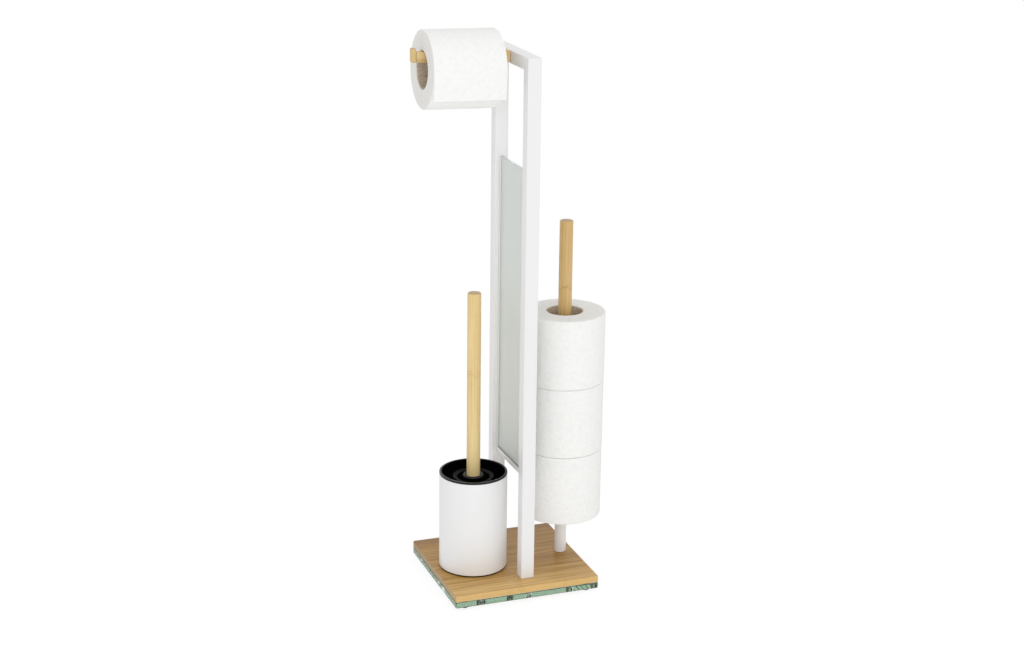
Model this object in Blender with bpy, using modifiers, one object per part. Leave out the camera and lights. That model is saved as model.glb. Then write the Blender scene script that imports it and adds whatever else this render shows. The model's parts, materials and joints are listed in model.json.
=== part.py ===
# A free-standing bathroom stand: a toilet brush in its holder, one paper roll on an arm
# and three spare rolls on a pole, all carried by a bamboo and glass base.
# Metres, +Z up. X runs from the brush (-X) to the spare rolls (+X), and the frame lies along Y.

import math
import random

import bmesh
import bpy
from mathutils import Matrix, Vector

MM = 0.001
GAP = 0.3 * MM  # between pieces that touch

# Base: a bamboo board on a glass plate, standing on four clear feet
BASE_WIDTH = 196 * MM
BASE_DEPTH = 185 * MM
BASE_CORNER_RADIUS = 2 * MM
GLASS_THICKNESS = 8 * MM
GLASS_EDGE_BEVEL = 0.6 * MM
BAMBOO_THICKNESS = 8.4 * MM
BAMBOO_EDGE_BEVEL = 0.5 * MM
FOOT_HEIGHT = 3.2 * MM
FOOT_RADIUS = 4.5 * MM
FOOT_TREAD_RADIUS = 3 * MM
FOOT_INSET_X = 14.5 * MM
FOOT_INSET_Y = 9 * MM

# Frame: two posts and a top rail of one steel tube, mitred at the corners
TUBE_WIDTH = 17.5 * MM
TUBE_DEPTH = 16.5 * MM
TUBE_WALL = 1.2 * MM
TUBE_CORNER_RADIUS = 1 * MM
FRAME_HEIGHT = 679.5 * MM
FRAME_MARGIN = 26.75 * MM  # from the base's front and rear edges to the frame, on average
FRAME_X = 7.9 * MM
FRAME_Y = -2.9 * MM
PLUG_HEIGHT = 14 * MM

# Frosted pane, standing in a steel rail between two glazing strips
PANE_THICKNESS = 4 * MM
PANE_TOP_HEIGHT = 536 * MM
PANE_CORNER_RADIUS = 2 * MM
RAIL_HEIGHT_ABOVE_BASE = 136 * MM
RAIL_DEPTH = 7 * MM
RAIL_WALL = 1.4 * MM
STRIP_DEPTH = 4.5 * MM
STRIP_WALL = 1 * MM

# Arm for the roll in use: a bamboo bar that rises to a stop at its free end
ARM_OVERHANG = 8.1 * MM  # from the roll in use to the arm's tip
ARM_THICKNESS = 7.8 * MM
ARM_ROOT_HEIGHT = 14.4 * MM
ARM_TIP_HEIGHT = 12.5 * MM
ARM_RISE = 2.9 * MM
ARM_EDGE_BEVEL = 0.5 * MM
STOP_WIDTH = 5.6 * MM
STOP_THICKNESS = 9.4 * MM
STOP_UPSTAND = 4.6 * MM
STOP_BEVEL = 0.9 * MM

# Pole for the spare rolls: steel spacer, carrying plate and bamboo rod
POLE_MARGIN = 17.8 * MM  # from the base's right edge to the pole's axis
POLE_Y = 0.6 * MM
SPACER_RADIUS = 7.7 * MM
SPACER_HEIGHT = 55.6 * MM
PLATE_RADIUS = 32 * MM
PLATE_THICKNESS = 2.4 * MM
ROD_RADIUS = 8.7 * MM
ROD_LENGTH = 398.5 * MM
ROD_TOP_ROUNDING = 1.2 * MM

# Paper rolls
ROLL_LENGTH = 92.7 * MM
SPARE_ROLL_RADIUS = 52.9 * MM
SPARE_ROLL_COUNT = 3
USED_ROLL_RADIUS = 48.8 * MM
USED_ROLL_START = 20 * MM  # from the frame to the roll in use
ROLL_EDGE_ROUNDING = 2.5 * MM
CORE_RADIUS = 23.8 * MM
CORE_WALL = 1.2 * MM

# Brush holder: painted steel sleeve on a rubber ring, with a plastic insert
HOLDER_MARGIN = 8.8 * MM  # from the base's left edge to the sleeve
HOLDER_Y = -2.7 * MM
RING_HEIGHT = 1.2 * MM
RING_INSET = 1 * MM
RING_WIDTH = 5 * MM
SLEEVE_RADIUS = 44.4 * MM
SLEEVE_WALL = 0.8 * MM
SLEEVE_HEIGHT = 127.6 * MM
SLEEVE_BOTTOM_ROUNDING = 2 * MM
INSERT_CLEARANCE = 0.5 * MM
INSERT_WALL = 1.8 * MM
INSERT_DRAFT = 1.5 * MM
INSERT_FLOOR_ROUNDING = 4 * MM
LIP_THICKNESS = 2.4 * MM
LIP_ROUNDING = 0.8 * MM
LEDGE_WIDTH = 3 * MM
RECESS_RADIUS = 14 * MM
RECESS_RISE = 7 * MM

# Brush: bamboo handle in the collar of a lid, and a bristled head below it
LID_DROP = 8 * MM  # from the lip's top down to the lid
LID_THICKNESS = 2.2 * MM
LID_CLEARANCE = 0.6 * MM
LID_EDGE_WIDTH = 5 * MM
COLLAR_HEIGHT = 3.6 * MM
COLLAR_TOP_RADIUS = 13.4 * MM
COLLAR_FOOT_RADIUS = 16.5 * MM
SOCKET_DEPTH = 12 * MM
SOCKET_FLOOR = 2 * MM
SOCKET_WALL = 2.6 * MM
HANDLE_RADIUS = 8.85 * MM
HANDLE_LENGTH = 257.4 * MM
HANDLE_TOP_ROUNDING = 1.4 * MM
HANDLE_CLEARANCE = 0.35 * MM
STUD_RADIUS = 3 * MM
STUD_GRIP = 24 * MM  # how far the stud reaches into the handle, and into the rod
STEM_GRIP = 14 * MM  # how far the stud reaches into the brush's stem
STEM_RADIUS = 6.5 * MM
STEM_SHOULDER_RADIUS = 9 * MM
STEM_SHOULDER_HEIGHT = 4 * MM
HEAD_TOP_DROP = 24 * MM  # from the socket's underside down to the head
HEAD_LENGTH = 53 * MM
CORE_BODY_RADIUS = 11.5 * MM
BACKING_THICKNESS = 1.3 * MM
BRISTLE_REACH = 34.5 * MM  # radius of the bristled head
BRISTLE_TIP_DROP = 14 * MM  # how far the lowest bristles reach below the head
BRISTLE_RADIUS = 0.8 * MM
BRISTLE_TIP_SCALE = 0.55
BRISTLE_UNEVENNESS = 0.05
BRISTLE_SEED = 3
BRISTLE_ROWS = 7
BRISTLES_ROUND = 20

# Fasteners
SCREW_RADIUS = 2.4 * MM
SCREW_CLEARANCE = 0.4 * MM
SCREW_HEAD_RADIUS = 4.2 * MM
SCREW_HEAD_HEIGHT = 2.6 * MM
SCREW_GRIP = 11 * MM  # thread engaged in a plug or the spacer
WASHER_RADIUS = 4.6 * MM
WASHER_THICKNESS = 1 * MM
GLASS_HOLE_CLEARANCE = 0.4 * MM
HOLDER_WASHER_RADIUS = 6.4 * MM
NUT_RADIUS = 4.6 * MM
NUT_HEIGHT = 3.6 * MM
ARM_SCREW_GRIP = 18 * MM

# How finely round pieces are faceted
ROLL_STEPS = 36
HOLDER_STEPS = 36
ROD_STEPS = 24
SMALL_STEPS = 12
CORNER_STEPS = 3

# Levels, from the floor up
GLASS_BOTTOM = FOOT_HEIGHT + GAP
GLASS_TOP = GLASS_BOTTOM + GLASS_THICKNESS
BAMBOO_BOTTOM = GLASS_TOP + GAP
BASE_TOP = BAMBOO_BOTTOM + BAMBOO_THICKNESS
STAND_BOTTOM = BASE_TOP + GAP
FRAME_TOP = STAND_BOTTOM + FRAME_HEIGHT

# Frame and pane
FRAME_SPAN = BASE_DEPTH - 2 * FRAME_MARGIN
FRAME_LEFT = FRAME_X - TUBE_WIDTH / 2
POST_Y = FRAME_SPAN / 2 - TUBE_DEPTH / 2
BAY_HALF = FRAME_SPAN / 2 - TUBE_DEPTH  # half the clear width between the posts
RAIL_BOTTOM = BASE_TOP + RAIL_HEIGHT_ABOVE_BASE
RAIL_TOP = RAIL_BOTTOM + RAIL_DEPTH
PANE_BOTTOM = RAIL_BOTTOM + RAIL_WALL + GAP
PANE_TOP = BASE_TOP + PANE_TOP_HEIGHT
SLOT_WIDTH = PANE_THICKNESS + 2 * GAP
RAIL_WIDTH = SLOT_WIDTH + 2 * RAIL_WALL
STRIP_WIDTH = SLOT_WIDTH + 2 * STRIP_WALL

# Holder and brush
HOLDER_X = -BASE_WIDTH / 2 + HOLDER_MARGIN + SLEEVE_RADIUS
SLEEVE_BOTTOM = STAND_BOTTOM + RING_HEIGHT + GAP
SLEEVE_FLOOR = SLEEVE_BOTTOM + SLEEVE_WALL
SLEEVE_TOP = SLEEVE_BOTTOM + SLEEVE_HEIGHT
LIP_TOP = SLEEVE_TOP + GAP + LIP_THICKNESS
INSERT_BOTTOM = SLEEVE_FLOOR + INSERT_CLEARANCE
MOUTH_RADIUS = SLEEVE_RADIUS - SLEEVE_WALL - INSERT_CLEARANCE - INSERT_WALL
LID_TOP = LIP_TOP - LID_DROP
LEDGE_TOP = LID_TOP - LID_THICKNESS - GAP
SOCKET_RADIUS = HANDLE_RADIUS + HANDLE_CLEARANCE
SOCKET_BASE = LID_TOP + COLLAR_HEIGHT - SOCKET_DEPTH
SOCKET_UNDERSIDE = SOCKET_BASE - SOCKET_FLOOR
HANDLE_BOTTOM = SOCKET_BASE + GAP
STEM_TOP = SOCKET_UNDERSIDE - GAP
HEAD_TOP = SOCKET_UNDERSIDE - HEAD_TOP_DROP
HEAD_BOTTOM = HEAD_TOP - HEAD_LENGTH
STUD_HOLE_RADIUS = STUD_RADIUS + SCREW_CLEARANCE

# Pole and rolls
POLE_X = BASE_WIDTH / 2 - POLE_MARGIN
PLATE_BOTTOM = STAND_BOTTOM + SPACER_HEIGHT + GAP
PLATE_TOP = PLATE_BOTTOM + PLATE_THICKNESS
ROD_BOTTOM = PLATE_TOP + GAP
SPARE_ROLL_PITCH = ROLL_LENGTH + GAP
CORE_BORE = CORE_RADIUS - CORE_WALL
PAPER_BORE = CORE_RADIUS + GAP

# Arm, and the roll that hangs on it by the inside of its core
ARM_Y = FRAME_Y
ARM_ROOT_X = FRAME_LEFT - GAP
ARM_TIP_X = FRAME_LEFT - USED_ROLL_START - ROLL_LENGTH - ARM_OVERHANG
ARM_SCREW_Z = FRAME_TOP - ARM_ROOT_HEIGHT / 2
STOP_LEFT = ARM_TIP_X - GAP - STOP_WIDTH
USED_ROLL_X = FRAME_LEFT - USED_ROLL_START - ROLL_LENGTH / 2
CORE_REST = math.sqrt(CORE_BORE ** 2 - (ARM_THICKNESS / 2) ** 2) * math.cos(math.pi / ROD_STEPS)
ARM_SLOPE = math.atan2(ARM_RISE, ARM_ROOT_X - ARM_TIP_X)
ARM_TOP_AT_ROLL = FRAME_TOP + (ARM_ROOT_X - USED_ROLL_X) * math.tan(ARM_SLOPE)
USED_ROLL_Z = ARM_TOP_AT_ROLL + (GAP - CORE_REST) / math.cos(ARM_SLOPE)

# The origin is on the floor, half way between the arm's end and the outermost spare roll
BASE_X = -(STOP_LEFT + POLE_X + SPARE_ROLL_RADIUS) / 2


def clear_scene():
    for old in list(bpy.data.objects):
        bpy.data.objects.remove(old, do_unlink=True)


def make_collection(name):
    made = bpy.data.collections.new(name)
    bpy.context.scene.collection.children.link(made)
    return made


def make_material(name, colour, roughness, metallic=0.0, alpha=1.0):
    made = bpy.data.materials.new(name)
    made.use_nodes = True
    shader = made.node_tree.nodes["Principled BSDF"]
    shader.inputs["Base Color"].default_value = (*colour, 1.0)
    shader.inputs["Roughness"].default_value = roughness
    shader.inputs["Metallic"].default_value = metallic
    shader.inputs["Alpha"].default_value = alpha
    made.diffuse_color = (*colour, alpha)
    return made


def add_empty(name, place, parent=None):
    empty = bpy.data.objects.new(name, None)
    empty.empty_display_size = 0.02
    empty.location = place
    empty.parent = parent
    PIECES.objects.link(empty)
    return empty


def add_piece(name, data, material, parent, place=(0, 0, 0)):
    """Put a mesh or curve in the model as one sub-part."""
    piece = bpy.data.objects.new(name, data)
    data.materials.append(material)
    piece.location = place
    piece.parent = parent
    PIECES.objects.link(piece)
    return piece


def arc(centre, radius, start, end, steps=CORNER_STEPS):
    """Points of an arc, angles in degrees."""
    points = []
    for i in range(steps + 1):
        angle = math.radians(start + (end - start) * i / steps)
        points.append((centre[0] + radius * math.cos(angle), centre[1] + radius * math.sin(angle)))
    return points


def turned(name, profile, material, parent, place=(0, 0, 0), steps=SMALL_STEPS, closed=False):
    """Turn a profile of (radius, height) points, listed down its outer side, about Z."""
    mesh = bpy.data.meshes.new(name)
    bm = bmesh.new()
    verts = [bm.verts.new((radius, 0, height)) for radius, height in profile]
    for first, second in zip(verts, verts[1:]):
        bm.edges.new((first, second))
    if closed:
        bm.edges.new((verts[-1], verts[0]))
    bm.to_mesh(mesh)
    bm.free()
    piece = add_piece(name, mesh, material, parent, place)
    screw = piece.modifiers.new("turn", "SCREW")
    screw.angle = math.tau
    screw.steps = steps
    screw.render_steps = steps
    screw.use_merge_vertices = True
    screw.merge_threshold = 0.01 * MM
    return piece


def washer(name, outer, inner, thickness, material, parent, place, steps=SMALL_STEPS):
    """A flat ring standing on its place."""
    profile = [(inner, thickness), (outer, thickness), (outer, 0), (inner, 0)]
    return turned(name, profile, material, parent, place, steps, closed=True)


def block(name, size, material, parent, place, bevel=0.0, bevel_steps=2):
    """A box of a given size, centred on its place."""
    mesh = bpy.data.meshes.new(name)
    bm = bmesh.new()
    bmesh.ops.create_cube(bm, size=1.0)
    bmesh.ops.scale(bm, vec=size, verts=bm.verts)
    bm.to_mesh(mesh)
    bm.free()
    piece = add_piece(name, mesh, material, parent, place)
    if bevel:
        add_bevel(piece, bevel, bevel_steps)
    return piece


def add_bevel(piece, width, steps=2):
    bevel = piece.modifiers.new("bevel", "BEVEL")
    bevel.width = width
    bevel.segments = steps
    bevel.limit_method = "ANGLE"
    bevel.angle_limit = math.radians(40)


def rounded_rectangle(width, depth, radius, steps=2):
    """Points of a rectangle about the origin, counter-clockwise, with rounded corners."""
    across = width / 2 - radius
    along = depth / 2 - radius
    points = []
    corners = [(across, along), (-across, along), (-across, -along), (across, -along)]
    for i, corner in enumerate(corners):
        if radius:
            points += arc(corner, radius, 90 * i, 90 * (i + 1), steps)
        else:
            points.append(corner)
    return points


def flat_shape(name, outlines, thickness):
    """Mesh of a flat shape with holes, extruded evenly to both sides of its plane."""
    curve = bpy.data.curves.new(name, "CURVE")
    curve.dimensions = "2D"
    curve.fill_mode = "BOTH"
    curve.extrude = thickness / 2
    for outline in outlines:
        spline = curve.splines.new("POLY")
        spline.points.add(len(outline) - 1)
        for point, (x, y) in zip(spline.points, outline):
            point.co = (x, y, 0, 1)
        spline.use_cyclic_u = True
    guide = bpy.data.objects.new(name + "_outline", curve)
    bpy.context.scene.collection.objects.link(guide)
    depsgraph = bpy.context.evaluated_depsgraph_get()
    mesh = bpy.data.meshes.new_from_object(guide.evaluated_get(depsgraph))
    bpy.data.objects.remove(guide, do_unlink=True)
    bpy.data.curves.remove(curve)
    bm = bmesh.new()
    bm.from_mesh(mesh)
    bmesh.ops.remove_doubles(bm, verts=bm.verts, dist=0.01 * MM)
    bmesh.ops.recalc_face_normals(bm, faces=bm.faces)
    bm.to_mesh(mesh)
    bm.free()
    mesh.name = name
    return mesh


def drill(target, radius, start, axis, length, steps=SMALL_STEPS):
    """Cut a round hole from a start point along an axis, both in the target's parent's frame."""
    mesh = bpy.data.meshes.new(target.name + "_drill")
    bm = bmesh.new()
    bmesh.ops.create_cone(
        bm, cap_ends=True, segments=steps, radius1=radius, radius2=radius, depth=length
    )
    bm.to_mesh(mesh)
    bm.free()
    direction = Vector(axis).normalized()
    cutter = bpy.data.objects.new(mesh.name, mesh)
    cutter.parent = target.parent
    cutter.location = Vector(start) + direction * (length / 2)
    cutter.rotation_euler = direction.to_track_quat("Z", "Y").to_euler()
    cutter.hide_render = True
    cutter.display_type = "WIRE"
    CUTTERS.objects.link(cutter)
    hole = target.modifiers.new("hole", "BOOLEAN")
    hole.operation = "DIFFERENCE"
    hole.solver = "EXACT"
    hole.object = cutter


def square_tube(name, length, mitres, material, parent, place):
    """A length of frame tube along local Z from 0, whose ends lean with local Y.

    mitres gives how far each end moves along Z for each unit of Y.
    """
    outer = rounded_rectangle(TUBE_WIDTH, TUBE_DEPTH, TUBE_CORNER_RADIUS)
    inner = rounded_rectangle(TUBE_WIDTH - 2 * TUBE_WALL, TUBE_DEPTH - 2 * TUBE_WALL, 0)
    mesh = flat_shape(name, [outer, inner], length)
    for vert in mesh.vertices:
        lean = mitres[1] if vert.co.z > 0 else mitres[0]
        vert.co.z += length / 2 + lean * vert.co.y
    return add_piece(name, mesh, material, parent, place)


def channel(name, width, depth, wall, length, material, parent, place, turn):
    """A U-shaped strip: local Z along its length from 0, its open side facing local +Y."""
    half = width / 2
    slot = half - wall
    outline = [(-half, 0), (half, 0), (half, depth), (slot, depth), (slot, wall), (-slot, wall)]
    outline += [(-slot, depth), (-half, depth)]
    mesh = flat_shape(name, [outline], length)
    mesh.transform(Matrix.Translation((0, 0, length / 2)))
    strip = add_piece(name, mesh, material, parent, place)
    strip.rotation_euler = turn
    return strip


def screw(name, length, material, parent, place, turn=(0, 0, 0)):
    """A pan head screw: its shank runs up from the place, its head hangs below it."""
    crown = SCREW_HEAD_HEIGHT * 0.45
    profile = [(0, length), (SCREW_RADIUS * 0.7, length), (SCREW_RADIUS, length - SCREW_RADIUS * 0.3)]
    profile += [(SCREW_RADIUS, 0), (SCREW_HEAD_RADIUS, 0), (SCREW_HEAD_RADIUS, -crown)]
    profile += [(SCREW_HEAD_RADIUS * 0.7, -SCREW_HEAD_HEIGHT), (0, -SCREW_HEAD_HEIGHT)]
    piece = turned(name, profile, material, parent, place)
    piece.rotation_euler = turn
    return piece


def under_base_fixing(name, place, washer_radius, length, parent):
    """A washer and a screw that clamp something to the board through the glass plate's hole."""
    x, y = place
    washer_z = BAMBOO_BOTTOM - GAP - WASHER_THICKNESS
    hole = SCREW_RADIUS + SCREW_CLEARANCE
    washer(name + "_washer", washer_radius, hole, WASHER_THICKNESS, STEEL, parent, (x, y, washer_z))
    screw(name + "_screw", length, STEEL, parent, (x, y, washer_z - GAP))


def fixing_length(top):
    """Length of an under-base screw's shank that ends at a given height."""
    return top - (BAMBOO_BOTTOM - 2 * GAP - WASHER_THICKNESS)


def build_base(root):
    outline = rounded_rectangle(BASE_WIDTH, BASE_DEPTH, BASE_CORNER_RADIUS)
    glass = add_piece(
        "glass_base", flat_shape("glass_base", [outline], GLASS_THICKNESS), GLASS, root,
        (0, 0, (GLASS_BOTTOM + GLASS_TOP) / 2),
    )
    board = add_piece(
        "bamboo_base", flat_shape("bamboo_base", [outline], BAMBOO_THICKNESS), BAMBOO, root,
        (0, 0, (BAMBOO_BOTTOM + BASE_TOP) / 2),
    )
    add_bevel(glass, GLASS_EDGE_BEVEL, 1)
    add_bevel(board, BAMBOO_EDGE_BEVEL, 1)
    grip_top = STAND_BOTTOM + SCREW_GRIP
    nut_top = SLEEVE_FLOOR + GAP + NUT_HEIGHT
    fixings = [
        ("front_post", (FRAME_X, FRAME_Y - POST_Y), WASHER_RADIUS, grip_top),
        ("rear_post", (FRAME_X, FRAME_Y + POST_Y), WASHER_RADIUS, grip_top),
        ("pole", (POLE_X, POLE_Y), WASHER_RADIUS, grip_top),
        ("holder", (HOLDER_X, HOLDER_Y), HOLDER_WASHER_RADIUS, nut_top),
    ]
    for name, place, washer_radius, screw_top in fixings:
        start = (*place, 0)
        drill(glass, washer_radius + GLASS_HOLE_CLEARANCE, start, (0, 0, 1), BAMBOO_BOTTOM)
        drill(board, SCREW_RADIUS + SCREW_CLEARANCE, start, (0, 0, 1), 2 * BASE_TOP)
        under_base_fixing(name, place, washer_radius, fixing_length(screw_top), root)
    build_feet(root)


def build_feet(root):
    profile = [(0, FOOT_HEIGHT), (FOOT_RADIUS * 0.9, FOOT_HEIGHT), (FOOT_RADIUS, FOOT_HEIGHT * 0.85)]
    profile += [(FOOT_RADIUS * 0.92, FOOT_HEIGHT * 0.35), (FOOT_TREAD_RADIUS, 0), (0, 0)]
    for end, y_side in (("front", -1), ("rear", 1)):
        for side, x_side in (("left", -1), ("right", 1)):
            x = x_side * (BASE_WIDTH / 2 - FOOT_INSET_X)
            y = y_side * (BASE_DEPTH / 2 - FOOT_INSET_Y)
            turned(f"foot_{end}_{side}", profile, CLEAR_RUBBER, root, (x, y, 0))


def build_frame(root):
    slope = 1.0  # 45 degree mitre
    seam = GAP * math.sqrt(2)
    mean_height = FRAME_HEIGHT - TUBE_DEPTH / 2
    square_tube(
        "front_post", mean_height, (0, -slope), WHITE_STEEL, root,
        (FRAME_X, FRAME_Y - POST_Y, STAND_BOTTOM),
    )
    square_tube(
        "rear_post", mean_height, (0, slope), WHITE_STEEL, root,
        (FRAME_X, FRAME_Y + POST_Y, STAND_BOTTOM),
    )
    rail = square_tube(
        "top_rail", 2 * (POST_Y - seam), (-slope, slope), WHITE_STEEL, root,
        (FRAME_X, FRAME_Y - POST_Y + seam, FRAME_TOP - TUBE_DEPTH / 2),
    )
    rail.rotation_euler = (math.radians(-90), math.radians(180), 0)
    drill(
        rail, SCREW_RADIUS + SCREW_CLEARANCE, (FRAME_LEFT - TUBE_WIDTH / 2, ARM_Y, ARM_SCREW_Z),
        (1, 0, 0), 2 * TUBE_WIDTH,
    )
    plug_size = (TUBE_WIDTH - 2 * (TUBE_WALL + GAP), TUBE_DEPTH - 2 * (TUBE_WALL + GAP), PLUG_HEIGHT)
    for name, y in (("front_post_plug", FRAME_Y - POST_Y), ("rear_post_plug", FRAME_Y + POST_Y)):
        plug = block(name, plug_size, STEEL, root, (FRAME_X, y, STAND_BOTTOM + PLUG_HEIGHT / 2))
        drill(plug, SCREW_RADIUS + SCREW_CLEARANCE, (FRAME_X, y, 0), (0, 0, 1), 4 * STAND_BOTTOM)


def build_pane(root):
    channel(
        "glass_rail", RAIL_WIDTH, RAIL_DEPTH, RAIL_WALL, 2 * (BAY_HALF - GAP), WHITE_STEEL, root,
        (FRAME_X, FRAME_Y + BAY_HALF - GAP, RAIL_BOTTOM), (math.radians(90), 0, 0),
    )
    strip_bottom = RAIL_TOP + GAP
    strip_length = PANE_TOP - strip_bottom
    for name, side, turn in (("pane_strip_front", -1, 0), ("pane_strip_rear", 1, math.pi)):
        channel(
            name, STRIP_WIDTH, STRIP_DEPTH, STRIP_WALL, strip_length, CLEAR_RUBBER, root,
            (FRAME_X, FRAME_Y + side * (BAY_HALF - GAP), strip_bottom), (0, 0, turn),
        )
    pane_width = 2 * (BAY_HALF - STRIP_WALL - 2 * GAP)
    pane_height = PANE_TOP - PANE_BOTTOM
    outline = rounded_rectangle(pane_width, pane_height, PANE_CORNER_RADIUS)
    pane = add_piece(
        "glass_pane", flat_shape("glass_pane", [outline], PANE_THICKNESS), FROSTED_GLASS, root,
        (FRAME_X, FRAME_Y, (PANE_TOP + PANE_BOTTOM) / 2),
    )
    pane.rotation_euler = (math.radians(90), 0, math.radians(90))


def build_arm(root):
    root_bottom = FRAME_TOP - ARM_ROOT_HEIGHT
    tip_top = FRAME_TOP + ARM_RISE
    outline = [(ARM_ROOT_X, root_bottom), (ARM_ROOT_X, FRAME_TOP), (ARM_TIP_X, tip_top)]
    outline.append((ARM_TIP_X, tip_top - ARM_TIP_HEIGHT))
    mesh = flat_shape("roll_arm", [outline], ARM_THICKNESS)
    arm = add_piece("roll_arm", mesh, BAMBOO, root, (0, ARM_Y, 0))
    arm.rotation_euler = (math.radians(90), 0, 0)
    add_bevel(arm, ARM_EDGE_BEVEL)
    hole_depth = ARM_SCREW_GRIP + 2 * GAP
    start = (ARM_ROOT_X - hole_depth, ARM_Y, ARM_SCREW_Z)
    drill(arm, SCREW_RADIUS + SCREW_CLEARANCE, start, (1, 0, 0), 2 * hole_depth)
    stop_bottom = tip_top - ARM_TIP_HEIGHT
    stop_top = tip_top + STOP_UPSTAND
    block(
        "arm_end_stop", (STOP_WIDTH, STOP_THICKNESS, stop_top - stop_bottom), BAMBOO, root,
        (STOP_LEFT + STOP_WIDTH / 2, ARM_Y, (stop_top + stop_bottom) / 2), STOP_BEVEL,
    )
    screw(
        "arm_screw", TUBE_WIDTH + GAP + ARM_SCREW_GRIP, STEEL, root,
        (FRAME_LEFT + TUBE_WIDTH + GAP, ARM_Y, ARM_SCREW_Z), (0, math.radians(-90), 0),
    )


def build_pole(root):
    hole = SCREW_RADIUS + SCREW_CLEARANCE
    height = SPACER_HEIGHT
    chamfer = SPACER_RADIUS * 0.06
    profile = [(0, height - STUD_GRIP), (STUD_HOLE_RADIUS, height - STUD_GRIP)]
    profile += [(STUD_HOLE_RADIUS, height)]
    profile += [(SPACER_RADIUS - chamfer, height), (SPACER_RADIUS, height - chamfer)]
    profile += [(SPACER_RADIUS, chamfer), (SPACER_RADIUS - chamfer, 0), (hole, 0)]
    profile += [(hole, SCREW_GRIP + GAP), (0, SCREW_GRIP + GAP)]
    turned("pole_spacer", profile, WHITE_STEEL, root, (POLE_X, POLE_Y, STAND_BOTTOM), ROD_STEPS)
    washer(
        "roll_plate", PLATE_RADIUS, STUD_HOLE_RADIUS, PLATE_THICKNESS, WHITE_STEEL, root,
        (POLE_X, POLE_Y, PLATE_BOTTOM), ROLL_STEPS,
    )
    place = (POLE_X, POLE_Y, ROD_BOTTOM)
    bamboo_rod("spare_roll_rod", ROD_RADIUS, ROD_LENGTH, ROD_TOP_ROUNDING, root, place)
    reach = STUD_GRIP - GAP
    stud_bottom = PLATE_BOTTOM - GAP - reach
    stud("rod_stud", stud_bottom, ROD_BOTTOM + reach, root, (POLE_X, POLE_Y))


def bamboo_rod(name, radius, length, rounding, parent, place):
    """A round bamboo rod with a rounded top and a hole for its stud below."""
    profile = [(0, length)] + arc((radius - rounding, length - rounding), rounding, 90, 0)
    profile += [(radius, 0), (STUD_HOLE_RADIUS, 0), (STUD_HOLE_RADIUS, STUD_GRIP), (0, STUD_GRIP)]
    turned(name, profile, BAMBOO, parent, place, ROD_STEPS)


def stud(name, bottom, top, parent, place):
    length = top - bottom
    chamfer = STUD_RADIUS * 0.3
    profile = [(0, length), (STUD_RADIUS - chamfer, length), (STUD_RADIUS, length - chamfer)]
    profile += [(STUD_RADIUS, chamfer), (STUD_RADIUS - chamfer, 0), (0, 0)]
    turned(name, profile, STEEL, parent, (*place, bottom))


def paper_roll(name, radius, axis):
    """A wound roll of paper and its cardboard core, centred on its axis along local Z."""
    half = ROLL_LENGTH / 2
    soft = ROLL_EDGE_ROUNDING
    profile = [(PAPER_BORE, half)] + arc((radius - soft, half - soft), soft, 90, 0)
    profile += arc((radius - soft, soft - half), soft, 0, -90) + [(PAPER_BORE, -half)]
    turned(name + "_paper", profile, PAPER, axis, steps=ROLL_STEPS, closed=True)
    washer(
        name + "_core", CORE_RADIUS, CORE_BORE, ROLL_LENGTH, CARDBOARD, axis, (0, 0, -half), ROD_STEPS
    )


def build_rolls(root):
    for i in range(SPARE_ROLL_COUNT):
        z = ROD_BOTTOM + SPARE_ROLL_PITCH * i + ROLL_LENGTH / 2
        axis = add_empty(f"spare_roll_{i + 1}_axis", (POLE_X, POLE_Y, z), root)
        paper_roll(f"spare_roll_{i + 1}", SPARE_ROLL_RADIUS, axis)
    axis = add_empty("used_roll_axis", (USED_ROLL_X, ARM_Y, USED_ROLL_Z), root)
    axis.rotation_euler = (0, ARM_SLOPE - math.radians(90), 0)
    paper_roll("used_roll", USED_ROLL_RADIUS, axis)


def build_holder(root):
    place = (HOLDER_X, HOLDER_Y)
    ring_outer = SLEEVE_RADIUS - RING_INSET
    washer(
        "holder_foot_ring", ring_outer, ring_outer - RING_WIDTH, RING_HEIGHT, BLACK_RUBBER, root,
        (*place, STAND_BOTTOM), HOLDER_STEPS,
    )
    bend = SLEEVE_BOTTOM_ROUNDING
    inner_bend = bend - SLEEVE_WALL
    inner_radius = SLEEVE_RADIUS - SLEEVE_WALL
    hole = SCREW_RADIUS + SCREW_CLEARANCE
    centre = (SLEEVE_RADIUS - bend, bend)
    profile = [(SLEEVE_RADIUS, SLEEVE_HEIGHT)] + arc(centre, bend, 0, -90, 2)
    profile += [(hole, 0), (hole, SLEEVE_WALL)] + arc(centre, inner_bend, -90, 0, 2)
    profile.append((inner_radius, SLEEVE_HEIGHT))
    turned(
        "holder_sleeve", profile, WHITE_STEEL, root, (*place, SLEEVE_BOTTOM), HOLDER_STEPS, closed=True
    )
    washer("holder_nut", NUT_RADIUS, hole, NUT_HEIGHT, STEEL, root, (*place, SLEEVE_FLOOR + GAP), 6)
    build_insert(add_empty("insert_axis", (*place, 0), root))


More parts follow.
